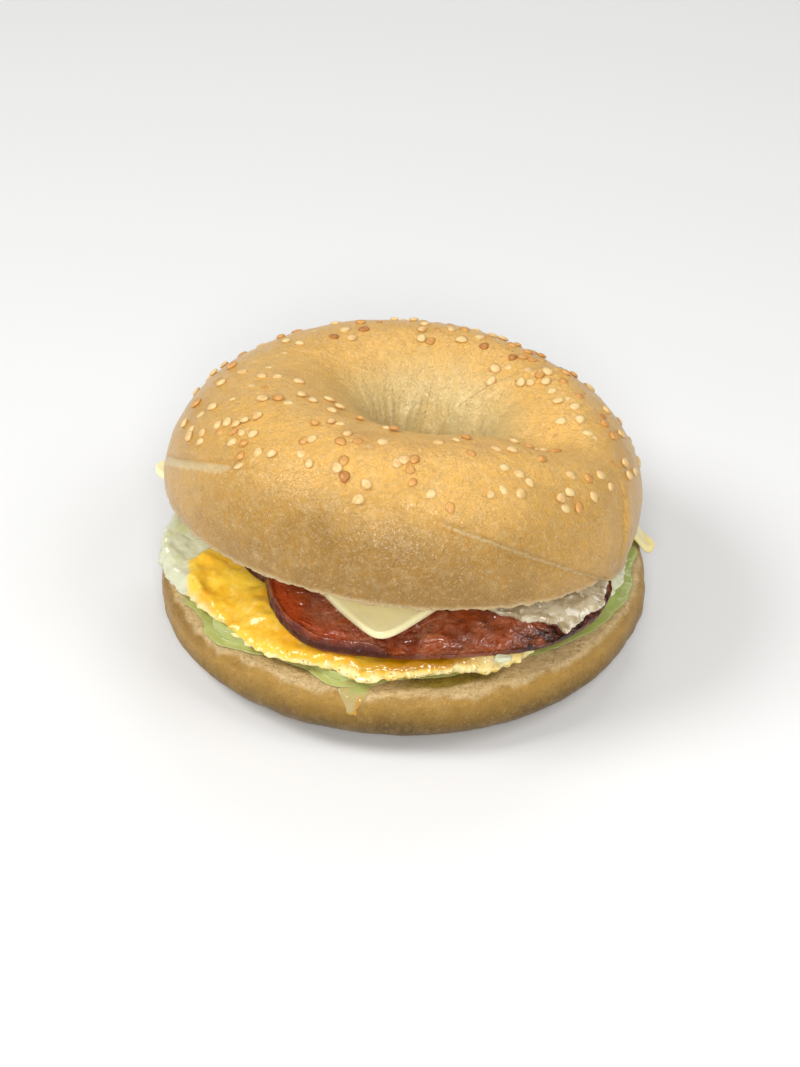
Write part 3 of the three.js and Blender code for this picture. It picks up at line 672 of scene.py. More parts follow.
def seedPlaces():
    # The listed seeds lie on the front and the crest. Behind, where the crust faces away, tries that walk
    # evenly over it are kept by chance, as far as the density says.
    kept = [(kind, azimuth, section) for kind in seedLooks for azimuth, section in seeds[kind]]
    points = np.array([topPoints(np.array(float(a)), np.array(float(s))) for _, a, s in kept])
    plastic = 1.32471795724  # its powers walk evenly over a square
    for n in range(1, seeds["tries"] + 1):
        azimuth, section = 360 * ((n / plastic) % 1), -5 + 125 * ((n / plastic ** 2) % 1)
        point, _, out = seedFrame(azimuth, section)
        facing = float((tilt @ out) @ np.array([0, -0.8, 0.6]))  # 1 towards the front and above
        clear = np.min(np.linalg.norm(points - point, axis=1)) > seeds["apart"]
        if facing < 0.12 and clear and chance(n, 1) < float(seedDensity(azimuth, section)):
            draw = chance(n, 4)
            baked = "toasted" if draw < seeds["toastedUpTo"] else "dark"
            kept.append(("pale" if draw < seeds["paleUpTo"] else baked, azimuth, section))
            points = np.vstack([points, point])
    return kept


def makeSeeds():
    # One seed is a flat teardrop: its half-width falls off towards the pointed end, and its top is rounded.
    rows, columns = seeds["rings"], seeds["around"]
    turn = (np.arange(columns) * 360 / columns)[None, :]
    rise = np.linspace(-90, 90, rows + 2)[1:-1, None]
    along = cosine(rise) * cosine(turn)
    across = cosine(rise) * sine(turn) * (1 - 0.26 * along)
    shape = flat(along * seeds["length"] / 2, across * seeds["width"] / 2,
                 sine(rise) * seeds["thickness"] / 2).reshape(-1, 3)
    shape = np.vstack([shape, [[0, 0, -seeds["thickness"] / 2], [0, 0, seeds["thickness"] / 2]]])
    faces = [gridFaces(rows, columns, False), fan(0, columns, rows * columns, False),
             fan((rows - 1) * columns, columns, rows * columns + 1, True)]
    sets = {kind: [] for kind in seedLooks}
    for n, (kind, azimuth, section) in enumerate(seedPlaces()):
        here, along, out = seedFrame(azimuth, section)
        out = out + 0.16 * (chance(n, 5) - 0.5) * along
        out /= np.linalg.norm(out)
        along = along - out * np.dot(along, out)
        along /= np.linalg.norm(along)
        side = np.cross(out, along)
        turned = 360 * chance(n, 3)
        size = 0.84 + 0.28 * chance(n, 2)
        first = along * cosine(turned) + side * sine(turned)
        second = side * cosine(turned) - along * sine(turned)
        deep = 0.45 if chance(n, 8) < seeds["drowned"] else 0.0
        sunk = seeds["thickness"] * (0.40 - 0.25 * chance(n, 7) - deep)
        placed = size * (shape[:, :1] * first + shape[:, 1:2] * second) + shape[:, 2:] * out
        sets[kind].append(placed + here + out * sunk)
    for kind, group in sets.items():
        points = np.concatenate(group) @ tilt.T + lift + middle
        starts = np.arange(len(group)) * len(shape)
        joined = [(part[None] + starts[:, None, None]).reshape(-1, part.shape[1]) for part in faces]
        material = seedMaterial(kind + "SesameSeed", seedLooks[kind])
        makePiece(kind + "Seeds", points, joined, material, "top_half")


# The lower half's crust lay on the tray: duller and browner, with the same dried glaze. Its dark tan low
# down is partly painted shade, and its lighter sides are painted light.
heelLook = {
    **crustLook, "tan": "#453210", "golden": "#8c6a2b", "bright": "#a9823e", "brown": "#8a6422",
    "pale": "#a58142", "line": "#bda067", "streakAndSheen": "#c9a562", "roughness": 0.38, "strokeCover": 0.5,
    "specular": 0.2, "coat": 0.05,
}


def shoulderAt(outer, turn):
    # The bottom half's shoulder, from the widest line (turn 0) up to the edge of the cut (turn 90).
    radius = outer - bottomHalf["shoulder"] * (1 - cosine(turn) ** 0.8)
    return radius, bottomHalf["widestAt"] + (bottomHalf["cutAt"] - bottomHalf["widestAt"]) * sine(turn) ** 0.8


def makeBottomHalf():
    # The section runs from the widest line over the shoulder, across the cut face, down the hole, out along
    # the foot and up round the underside. The cut face is crumb, torn at its edge.
    azimuth = (np.arange(bottomHalf["around"]) * 360 / bottomHalf["around"])[None, :]
    outer = bottomRadius(azimuth)
    mouth = bottomHalf["holeRadius"] + bottomHalf["holeSwell"]
    widest, cut, foot = bottomHalf["widestAt"], bottomHalf["cutAt"], bottomHalf["footShare"]
    inner = outer - bottomHalf["shoulder"]
    lengths = [22, 44, 16, 16, 34]  # rows in each part of the section
    shoulder, face, hole, under, side = [(np.arange(rows) / rows)[:, None] for rows in lengths]
    swell = bottomHalf["holeRadius"] + bottomHalf["holeSwell"] * np.abs(np.cos(np.pi * hole)) ** 1.5
    parts = [
        shoulderAt(outer, 90 * shoulder), (inner - (inner - mouth) * face ** 1.3, cut),
        (swell, cut * (1 - hole)), (mouth + (foot * outer - mouth) * under, 0),
        (outer * (foot + (1 - foot) * sine(90 * side) ** 0.95), widest * (1 - cosine(90 * side) ** 0.95)),
    ]
    radius, z = [np.concatenate([np.broadcast_to(part[i], (rows, bottomHalf["around"]))
                                 for part, rows in zip(parts, lengths)]) for i in (0, 1)]
    crumb = np.repeat([0.0, 1.0, 0.0, 0.0, 0.0], lengths)[:, None] + 0 * radius
    x, y = radius * cosine(azimuth), radius * sine(azimuth)
    z = z + np.maximum(0, z - widest) / (cut - widest) * (cutFaceAt(y) - cut)
    skin = flat(x, y, z)
    lumps = 0.35 * noise(skin, 12, 21) + 0.26 * noise(skin, 4.5, 22) + 0.08 * noise(skin, 1.5, 23)
    outward = flat(cosine(azimuth), sine(azimuth), 0)
    skin = skin + outward * (lumps * smooth(0.4, 3, z) * (1 - crumb))[..., None]
    # The torn edge: over the shoulder's first millimetres skin turns to crumb unevenly, with small pits.
    edge = np.clip((radius - inner) / bottomHalf["shoulder"], 0, 1)
    onShoulder = (np.arange(len(radius)) < len(shoulder))[:, None]
    tear = smooth(0.74, 0.44, edge + 0.22 * noise(skin, 2.4, 24)) * onShoulder
    crumb = np.maximum(crumb, tear)
    pits = 0.5 * smooth(0.45, 0.8, noise(skin, 1.6, 28)) * tear
    skin[..., 2] += crumb * bottomHalf["crumble"] * (noise(skin, 2.0, 25) + 0.7 * noise(skin, 0.9, 26)) - pits
    # Oil from the filling has soaked into the cut in front. The dark olive just under the egg's edge is
    # partly that oil and partly painted shade.
    at = np.mod(azimuth, 360)
    stainAndShade = np.exp(-(((at - 283) / 15) ** 4)) * smooth(52.4, 51, radius + 0.8 * noise(skin, 5, 27)) * crumb
    stainAndShade = np.maximum(stainAndShade, 0.6 * np.exp(-(((at - 240) / 17) ** 4)) * smooth(52.2, 50, radius) * crumb)
    # Painted light and shade: lighter towards the top, on the left side and a little on the right, and darker
    # low down.
    left = hill(wrapped(azimuth - 190), 0, 42) + 0.4 * hill(wrapped(azimuth - 335), 0, 24)
    golden = 0.02 + 0.62 * smooth(7, 17, z) + 0.3 * left + 0.4 * smooth(2.5, 0.4, z) + 0 * azimuth
    fields = {"golden": golden, "pale": 0.5 * smooth(0.95, 0.5, edge) * onShoulder + 0 * golden,
              "line": 4 + 0 * golden, "crumb": crumb, "stainAndShade": stainAndShade}
    material = crustMaterial("bakedBagelHeel", heelLook)
    makeRing("bottomHalf", skin, material, "bottom_half", fields)


# Mashed avocado and sour cream: wet, smooth, pale green, with herb specks about 0.4 mm across.
spreadLook = {"pale": "#aeb36a", "deep": "#93a150", "speck": "#38431c", "roughness": 0.28}


def spreadMaterial():
    material, tree, place, (deep,) = startMaterial("avocadoSpread", ("deep",))
    colour = coats(tree, spreadLook["pale"], [
        (blotches(tree, place, 5, 0.4, 0.65, 0.6), spreadLook["deep"]), (deep, spreadLook["deep"]),
        (dots(tree, place, 2.1, 0.26, 0.42), spreadLook["speck"])])
    finish(tree, colour, {"Roughness": spreadLook["roughness"], "IOR": 1.4, "Subsurface Weight": 0.3,
           "Subsurface Radius": (0.8, 1.0, 0.4), "Subsurface Scale": 0.0015, "Coat Weight": 0.6,
           "Coat Roughness": 0.12},
           [(blotches(tree, place, 2.4, 0, 1, 1, 1), 0.3), (blotches(tree, place, 0.7, 0, 1), 0.05)])
    return material


def makeSpread(material):
    # A ring on the cut face. Its section is a curve through knots: from the outer foot over the squeezed bead
    # to the thin layer inside. The bead stands just outside the edge of the egg.
    azimuth = (np.arange(spread["around"]) * 360 / spread["around"])[None, :]
    outer = np.minimum(spreadOutline(azimuth), bottomRadius(azimuth) - bottomHalf["shoulder"] + 0.7)
    outer = outer + 0.7 * around(azimuth, 52, 31) + 0.3 * around(azimuth, 120, 35)
    inner = spread["innerRadius"] + 0.8 * sine(3 * azimuth)
    front = 1 - smooth(-0.25, 0, sine(azimuth))  # the beads show in front; at the back the layer is flat
    ridge = np.minimum(outer - 1.0, np.maximum(outer - 2.8, eggRadius(azimuth) + 0.2))
    flatEnd = ridge - 1.6 - 2.4 * (1 - front)
    bead = spread["squeezed"] * np.maximum(0, beadHeight(azimuth)) * (1 + 0.3 * around(azimuth, 80, 32))
    thick = spread["thickness"]
    knots = [
        (outer - 0.8, 0), (outer, 0.45), (outer - 0.15 * (outer - ridge), 0.6 * thick + 0.45 * bead),
        (ridge + 0.5 * (outer - ridge), thick + 0.85 * bead), (ridge, thick + bead),
        (ridge - 0.5 * (ridge - flatEnd), thick + 0.62 * bead), (flatEnd, thick),
        ((inner + flatEnd) / 2, thick), (inner + 0.6, thick), (inner, 0),
    ]
    radius = np.concatenate([r + 0 * azimuth for r, _ in knots])
    height = np.concatenate([h + 0 * azimuth for _, h in knots])
    steps = np.arange(len(knots) * spread["knotSteps"]) / spread["knotSteps"]
    first = np.floor(steps).astype(int)
    part = (steps - first)[:, None]
    curved = [-0.5 * part + part**2 - 0.5 * part**3, 1 - 2.5 * part**2 + 1.5 * part**3,
              0.5 * part + 2 * part**2 - 1.5 * part**3, -0.5 * part**2 + 0.5 * part**3]
    straight = [0 * part, 1 - part, part, 0 * part]
    isFlat = (first >= 6)[:, None]  # the thin layer and the underside
    weights = [np.where(isFlat, s, c) for s, c in zip(straight, curved)]
    near = [np.mod(first + k, len(knots)) for k in (-1, 0, 1, 2)]
    radius = sum(w * radius[i] for w, i in zip(weights, near))
    height = np.maximum(0, sum(w * height[i] for w, i in zip(weights, near)))
    x, y = radius * cosine(azimuth), radius * sine(azimuth)
    skin = flat(x, y, cutFaceAt(y) + 0.2 + height)
    skin[..., 2] += smooth(0.5, 1.5, height) * (0.9 * noise(skin, 4.2, 33) + 0.4 * noise(skin, 1.9, 34))
    at = np.mod(azimuth + 0 * radius, 360)
    makeRing("avocadoSpread", skin, material, "spread", {"deep": 0.45 * smooth(300, 325, at)})


# Oil and avocado water run out over the edge: a clear, wet film with an amber bead along its low side.
# Its places and its width at the end are in degrees.
dripLook = {
    "film": "#cdb878", "green": "#b9c074", "amber": "#dba02a", "roughness": 0.12,
    "from": 254.0, "to": 261.6, "endsAt": 258.0, "endWidth": 2.6, "lowest": 12,
    "rows": 60, "around": 64,
}


def makeDrip():
    # Rows run down: in over the cut face, then over the shoulder. Each row is a closed flat loop, a film
    # above and the bread below, and the film thickens to a bead at its right edge and its low end.
    down = np.linspace(0, 1, dripLook["rows"])[:, None]
    loop = (np.arange(dripLook["around"]) * 360 / dripLook["around"])[None, :]
    across = 0.5 - 0.5 * cosine(loop)
    narrow = smooth(0.25, 0.75, down)
    left = dripLook["from"] + (dripLook["endsAt"] - dripLook["endWidth"] / 2 - dripLook["from"]) * narrow
    right = dripLook["to"] + (dripLook["endsAt"] + dripLook["endWidth"] / 2 - dripLook["to"]) * narrow
    azimuth = left + (right - left) * across + 0.25 * noise(flat(down * 9, across, 0), 1, 91)
    outer = bottomRadius(azimuth)
    turn = 90 - (90 - dripLook["lowest"]) * smooth(-0.4, 1.0, down * 1.3 - 0.3) * (down > 0.23)
    turn = np.clip(turn, 10, 90)
    radius, z = shoulderAt(outer, turn)
    radius = radius - 2.6 * (1 - np.minimum(1, down / 0.25))
    above = np.maximum(0, sine(loop))
    bead = hill(across, 0.84, 0.14) * smooth(0.3, 0.6, down) + 0.8 * hill(down, 0.92, 0.07)
    lip = smooth(0.3, 0.1, down)
    thick = (0.2 + 0.5 * bead + 0.5 * lip) * above ** 0.6 * np.sqrt(smooth(1.02, 0.9, down)) + 0.08
    radius, z = radius + thick * cosine(turn), z + thick * sine(turn)
    upperEnd = smooth(0.36, 0.12, down + 0.1 * noise(flat(down * 8, across * 4, 0), 1, 92))
    material, tree, place, (amber, green) = startMaterial("runOutOil", ("amber", "green"))
    colour = coats(tree, dripLook["film"], [(green, dripLook["green"]), (amber, dripLook["amber"])])
    finish(tree, colour, {"Roughness": dripLook["roughness"], "IOR": 1.4, "Transmission Weight": 0.35,
           "Coat Weight": 0.6, "Coat Roughness": 0.05}, [(blotches(tree, place, 1.6, 0, 1), 0.2)])
    makeSlab("oilDrip", radius * cosine(azimuth), radius * sine(azimuth), z, material, None,
             {"amber": np.clip(bead, 0, 1), "green": upperEnd + 0 * radius})


# Fried egg with the yolk broken into it: moist, smooth skin over curds, opaque yellow and milky white.
eggLook = {
    "yellow": "#efc53c", "orange": "#e8ab20", "light": "#f6dc88", "shaded": "#b47c04", "white": "#cfd0b0",
    "green": "#c8ca86", "fringe": "#e9dda0", "speck": "#7a4a18", "roughness": 0.34,
}


def eggMaterial():
    material, tree, place, (yolk, fringe, shaded) = startMaterial("friedEgg", ("yolk", "fringe", "shaded"))
    yellow = coats(tree, eggLook["yellow"], [
        (blotches(tree, place, 7, 0.4, 0.62), eggLook["orange"]),
        # pale yellow patches: partly the yolk's own tone, partly painted highlight
        (blotches(tree, place, 2.4, 0.55, 0.72, 0.35, 1, 1.0), eggLook["light"]),
        (shaded, eggLook["shaded"])])
    white = coats(tree, eggLook["white"], [
        (blotches(tree, place, 5.5, 0.54, 0.68, 0.8, 2), eggLook["green"])])
    foam = dots(tree, place, 0.9, 0.3, 0.5)
    fringeColour = coats(tree, eggLook["fringe"], [
        (blotches(tree, place, 3, 0.45, 0.65, 0.8), eggLook["yellow"]),
        (addNode(tree, "Math", {0: foam, 1: 0.55}, operation="MULTIPLY"), eggLook["shaded"])])
    colour = coats(tree, white, [(yolk, yellow), (fringe, fringeColour),
                                 (dots(tree, place, 3.4, 0.26, 0.3), eggLook["speck"])])
    holes = addNode(tree, "Math", {0: foam, 1: fringe}, operation="MULTIPLY")
    finish(tree, colour, {"Roughness": eggLook["roughness"], "IOR": 1.4, "Subsurface Weight": 0.2,
           "Subsurface Radius": (1.0, 0.8, 0.35), "Subsurface Scale": 0.0015, "Coat Weight": 0.7,
           "Coat Roughness": 0.1},
           [(blotches(tree, place, 2.8, 0, 1, 1, 0, 0.5), 0.4),
            (blotches(tree, place, 1.0, 0, 1, 1, 1), 0.08), (holes, -0.25)])
    return material


def makeEgg(material):
    # The slab of the solid, with curds on it, a torn edge that thins towards the left front, and the yellow
    # standing over the white at the left.
    def radiusAt(azimuth):
        ragged = 0.5 * around(azimuth, 170, 41) + 0.25 * around(azimuth, 420, 42)
        return eggRadius(azimuth) + ragged + 2.4 * hill(wrapped(azimuth - 342), 0, 9)
    x, y, z, level, turn, rim = slabGrid({
        "around": 720, "rings": 52, "edgeRings": 8, "x": 0, "y": 0, "edge": egg["edge"],
        "radiusAt": radiusAt, "bottomAt": eggBottomAt, "topAt": eggTopAt})
    skin = flat(x, y, z)
    at = np.mod(np.degrees(np.arctan2(y, x)), 360)
    edgeOfWhite = -51.2 + 1.1 * np.maximum(0, y + 12.3) + 0.13 * np.maximum(0, -12 - y)
    edgeOfWhite = edgeOfWhite + 0.9 * noise(skin, 4, 43)
    yolk = smooth(-0.6, 0.6, x - edgeOfWhite) * smooth(41, 38, x) * smooth(15, 9, y + 3 * noise(skin, 6, 51))
    upper = np.maximum(0, level)
    outside = smooth(28, 42, np.hypot(x, y)) * smooth(12, 0, y)
    curds = 0.7 * noise(skin, 7, 44) + 0.5 * noise(skin, 3.6, 45) + 0.2 * noise(skin, 1.7, 46)
    stands = 1.5 * smooth(-1.2, 1.6, x - edgeOfWhite) * smooth(-38, -46, x) * smooth(-32, -26, y)
    dimple = -1.5 * np.exp(-((x + 45.2) ** 2 + (y + 21.2) ** 2) / 3.5)
    thinning = 2.3 * hill(at, 224, 20) * smooth(10, 0, rim)
    z = z + upper * outside * (curds + stands + dimple)
    z = z - thinning * (0.5 + 0.5 * level)
    out = np.hypot(x, y)
    frill = smooth(0.3, -0.3, level) * smooth(5, 0, rim)
    torn = (0.4 * noise(skin, 2.0, 52) + 0.3 * noise(skin, 0.9, 49)) * sine(turn)
    lacy = hill(at, 262, 6) * frill * 1.4
    pushed = 1 + (frill * (0.55 + 0.7 * noise(skin, 1.5, 48)) + torn + lacy) / out
    x, y = x * pushed, y * pushed
    fringe = smooth(0.45, -0.15, level + 0.35 * noise(skin, 2.2, 50)) * smooth(20, 60, turn) * yolk
    clear = hill(at, 297, 7) * smooth(6, 2, rim)
    shaded = smooth(246, 272, at) * smooth(330, 312, at) * smooth(0, 0.5, level)
    makeSlab("friedEgg", x, y, z, material, "fried_egg", {
        "yolk": yolk * (1 - 0.5 * clear), "fringe": 0.95 * np.maximum(fringe, 0.6 * clear),
        "shaded": shaded * (1 - clear)})


# Smoked back bacon, fried: cured lean meat, wet with fat, brown-red and seared dark along its rind. Its pink
# middle and its pale streaks are partly painted sheen, the orange by the raised rim is painted light,
# and the darker red deep under the crown is partly painted shade.
baconLook = {
    "lean": "#6a2206", "orange": "#a0440c", "glow": "#a03606", "deep": "#3e0902", "pinkAndSheen": "#bf8468",
    "fatAndSheen": "#d8a284", "rind": "#461508", "char": "#2a100a", "roughness": 0.36,
}


def baconMaterial():
    carried = ("deep", "glow", "pinkAndSheen", "rind", "char")
    material, tree, place, (deep, glow, pinkAndSheen, rind, char) = startMaterial("friedBackBacon", carried)
    fibresAndSheen = strokes(tree, place, 2.2, 0.03, 1.5, 0.3)
    wet = addNode(tree, "Math", {0: rind, 1: -0.75, 2: 0.8}, operation="MULTIPLY_ADD")
    colour = coats(tree, baconLook["lean"], [
        (blotches(tree, place, 7, 0.40, 0.62, 0.85), baconLook["orange"]), (deep, baconLook["deep"]),
        # painted light: an orange glow by the raised rim
        (glow, baconLook["glow"]),
        # pinkish middle and pale streaks on it: partly the meat's own colour, partly painted sheen
        (addNode(tree, "Math", {0: pinkAndSheen, 1: blotches(tree, place, 3.4, 0.36, 0.6, 0.85, 4, 1.0)},
                 operation="MULTIPLY"), baconLook["pinkAndSheen"]),
        (addNode(tree, "Math", {0: pinkAndSheen, 1: fibresAndSheen}, operation="MULTIPLY"), baconLook["fatAndSheen"]),
        (rind, baconLook["rind"]),
        (addNode(tree, "Math", {0: char, 1: blotches(tree, place, 2.6, 0.34, 0.58)}, operation="MULTIPLY"),
         baconLook["char"])])
    finish(tree, colour, {"Roughness": baconLook["roughness"], "IOR": 1.42, "Subsurface Weight": 0.1,
           "Subsurface Radius": (1.0, 0.35, 0.2), "Subsurface Scale": 0.0012, "Specular IOR Level": 0.3,
           "Coat Weight": wet, "Coat IOR": 1.45, "Coat Roughness": 0.07},
           [(blotches(tree, place, 3.0, 0, 1, 1, 1, 1.0), 0.9),
            (blotches(tree, place, 1.2, 0, 1, 1, 1, 0.6), 0.28)])
    return material


def makeBacon(material):
    # The front slice: a thick rasher behind a raised rind, dished at its left end, wrinkled over its middle,
    # with a valley between its two bulges.
    def radiusAt(azimuth):
        wavy = ovalRadius(frontBacon, 0.012, 5)(azimuth) + 0.35 * around(azimuth, 26, 61)
        return wavy + 0.12 * around(azimuth, 150, 62)
    x, y, z, level, turn, rim = slabGrid({
        "around": 600, "rings": 60, "edgeRings": 10, "x": frontBacon["x"], "y": frontBacon["y"], "edge": 0.8,
        "radiusAt": radiusAt, "bottomAt": frontBaconBottomAt, "topAt": frontBaconTopAt})
    skin = flat(x, y, z)
    upper = np.maximum(0, level)
    shown = smooth(-6, -16, y)
    # The dish is painted a darker red where it lies deep under the crown: partly the meat's own colour,
    # partly painted shade.
    dish = hill(x, -20, 10) * hill(y, -22, 9)
    lip = 0.85 * hill(rim, 0.8, 0.6) * smooth(0, -10, x)
    long = flat(0.45 * x - 0.2 * y, y + 0.2 * x, z)  # wrinkles run along the rasher
    creased = (1 - np.abs(noise(long, 2.3, 63))) ** 3 * smooth(-20, -12, x + 2 * noise(skin, 6, 68))
    creased = creased * smooth(1.2, 3, rim)
    bulged = 0.5 * noise(skin, 6, 64) + 0.16 * noise(skin, 2.2, 65)
    valley = 1.5 * hill(x, -2.5, 3.2) * smooth(-32, -41, y)
    rounded = 1.5 * smooth(6, 0, rim) * smooth(-4, 5, x)  # the right bulge falls off towards its edge
    z = z + upper * shown * (lip - 1.3 * dish + 0.8 * creased + bulged - valley - rounded)
    edge = smooth(25, 75, turn)
    azimuth = np.degrees(np.arctan2(y - frontBacon["y"], x - frontBacon["x"]))
    ribs = 1 + edge * (0.22 * around(azimuth, 260, 70) + 0.2 * noise(skin, 1.4, 71)) / np.hypot(x, y)
    x, y = x * ribs, y * ribs
    rind = np.maximum(edge, 0.75 * smooth(0.9, 0.2, rim + 0.3 * noise(skin, 2.5, 66)))
    char = smooth(6, 1, rim + 2.2 * noise(skin, 4, 67)) * smooth(20, 32, x) + 0.15 * edge
    # The pinkish middle: partly the meat's own pink, partly painted sheen.
    middleShare = 1.1 * hill(x, -9, 9) * hill(y, -35, 11) + 0.32 * smooth(-2, 6, x)
    # Painted light: an orange glow along the inner side of the raised rim at the left end.
    glow = 0.85 * hill(rim, 3.2, 2.0) * smooth(-6, -14, x) * smooth(-14, -22, y)
    fields = {"deep": np.clip(1.2 * dish, 0, 1), "glow": glow, "pinkAndSheen": np.clip(middleShare, 0, 1),
              "rind": rind * (1 - 0.6 * smooth(-4, 5, x)), "char": np.clip(char, 0, 1)}
    makeSlab("baconFrontSlice", x, y, z, material, "bacon_front_slice", fields)
    # The back slice, of which a sliver shows at the left.
    x, y, z, level, turn, rim = slabGrid({
        "around": 300, "rings": 24, "edgeRings": 6, "x": backBacon["x"], "y": backBacon["y"], "edge": 1.1,
        "radiusAt": ovalRadius(backBacon, 0.02, 5), "bottomAt": lambda x, y: eggTopAt(x, y) + gap,
        "topAt": backBaconTopAt})
    z = z + np.maximum(0, level) * (0.2 * noise(flat(x, y, z), 3, 69) + 0.5 * hill(rim, 1.2, 0.8))
    edge = smooth(30, 75, turn)
    # The back slice, far under the crown, is painted mostly dark red: partly painted shade.
    fields = {"deep": 0.7 + 0 * x, "glow": 0 * x, "pinkAndSheen": 0.2 + 0 * x, "rind": 0.85 * edge,
              "char": 0.5 * edge}
    makeSlab("baconBackSlice", x, y, z, material, "bacon_back_slice", fields)


# A processed-cheese slice, warmed: smooth and waxy, slightly clear at its edges, where light passes.
cheeseLook = {"body": "#fbeeae", "edge": "#fdf8d8", "rightBody": "#e4d07a", "roughness": 0.3}


def cheeseMaterial():
    material, tree, place, (edge, right) = startMaterial("meltingCheese", ("edge", "right"))
    colour = coats(tree, cheeseLook["body"], [
        (right, cheeseLook["rightBody"]), (blotches(tree, place, 8, 0.35, 0.7, 0.2), cheeseLook["edge"]),
        (edge, cheeseLook["edge"])])
    finish(tree, colour, {"Roughness": cheeseLook["roughness"], "IOR": 1.45, "Subsurface Weight": 0.3,
           "Subsurface Radius": (1.0, 0.9, 0.5), "Subsurface Scale": 0.002, "Coat Weight": 0.2,
           "Coat Roughness": 0.1},
           [(blotches(tree, place, 3, 0, 1), 0.1), (blotches(tree, place, 0.8, 0, 1), 0.03)])
    return material


def makeCheese():
    # A square slice draped over the filling, with its front corner rounder than the others. What reaches past
    # the rim of the bread bends down.
    half, turned = cheese["side"] / 2, cheese["turn"]

    def radiusAt(azimuth):
        softer = cheese["frontSoftness"] * hill(azimuth, cheese["frontAt"], cheese["frontWidth"])
        square = {"x": 0, "y": 0, "turn": turned, "halfWidth": half, "halfDepth": half,
                  "power": cheese["squareness"] - softer}
        return 1 / ovalShare(square, cosine(azimuth), sine(azimuth))
    x, y, z, level, _, _ = slabGrid({
        "around": 480, "rings": 60, "edgeRings": 8, "x": cheese["x"], "y": cheese["y"], "edge": 0.6,
        "radiusAt": radiusAt, "bottomAt": cheeseBottomAt, "topAt": cheeseTopAt, "start": turned - 45})
    dx, dy = x - cheese["x"], y - cheese["y"]
    fromEdge = half - np.maximum(np.abs(dx * cosine(turned) + dy * sine(turned)),
                                 np.abs(dy * cosine(turned) - dx * sine(turned)))
    reach = np.hypot(x, y)
    past = np.maximum(0, reach - bottomRadius(np.degrees(np.arctan2(y, x))) - 3.4)
    soft = smooth(-40, -10, x) * past
    scale = (reach - (1 - cheese["hang"]) * soft * smooth(10, 40, y)) / reach
    right = 0.8 * smooth(40, 50, x)
    x, y, z = x * scale, y * scale, z - cheese["fall"] * soft
    z = z - cheese["rightSag"] * smooth(54, 61, x) * smooth(28, 14, y)  # the right corner sags over the rim
    bead = hill(fromEdge, 0.9, 0.6) - smooth(1.5, 4, fromEdge)
    z = z + np.maximum(0, level) * cheese["bead"] * bead
    edge = 0.25 * smooth(3.2, 2.5, fromEdge) * (1 - 0.8 * smooth(38, 46, x))
    makeSlab("cheeseSlice", x, y, z, cheeseMaterial(), "cheese_slice",
             {"edge": edge, "right": right})


# Cooked egg white: milky, half clear and wet, full of small bubbles.
whiteLook = {"milky": "#d2c6a8", "clear": "#ad9c7a", "light": "#f4efe2", "roughness": 0.22}
flapOutline = roundOutline([
    [0, 11.5], [10, 11.9], [24, 13.7], [36, 16.1], [60, 16], [90, 14], [120, 14], [150, 15], [175, 17],
    [186, 17.6], [194, 16.6], [202, 15.3], [209, 13.4], [217, 11.7], [232, 10.4], [243, 8.7], [260, 8.1],
    [271, 8.4], [276, 9.9], [283, 11.1], [291, 10.1], [308, 9.1], [331, 8.6], [343, 9.9], [352, 11],
])
smallBits = [  # a blob of white at the end of the egg, and a bit of yolk on the flap
    {"name": "whiteBlob", "x": 22.9, "y": -48.4, "halfWidth": 2.1, "halfDepth": 1.0, "power": 2, "turn": 12,
     "thickness": 1.3, "sunk": 0.4},
    {"name": "yolkBit", "x": 31.0, "y": -33.6, "halfWidth": 2.5, "halfDepth": 0.9, "power": 2, "turn": -38,
     "thickness": 0.9, "sunk": 0.4},
]


def whiteMaterial():
    material, tree, place, _ = startMaterial("cookedEggWhite")
    bubbles = dots(tree, place, 1.1, 0.34, 0.4)
    colour = coats(tree, whiteLook["milky"], [
        (blotches(tree, place, 4, 0.42, 0.60, 1, 2), whiteLook["clear"]),
        (blotches(tree, place, 2.2, 0.56, 0.68, 0.8, 2, 1.0), whiteLook["light"]),
        (addNode(tree, "Math", {0: bubbles, 1: 0.4}, operation="MULTIPLY"), whiteLook["light"])])
    finish(tree, colour, {"Roughness": whiteLook["roughness"], "IOR": 1.38, "Subsurface Weight": 0.3,
           "Subsurface Radius": (1.0, 0.9, 0.7), "Subsurface Scale": 0.002, "Coat Weight": 0.7,
           "Coat Roughness": 0.06}, [(blotches(tree, place, 3.4, 0, 1, 1, 1, 0.6), 0.45), (bubbles, 0.14)])
    return material


def flapTopAt(x, y):
    return np.minimum(fillingTopAt(x, y) + gap + whiteFlap["thickness"], undersideAt(x, y) - 0.5 * gap)


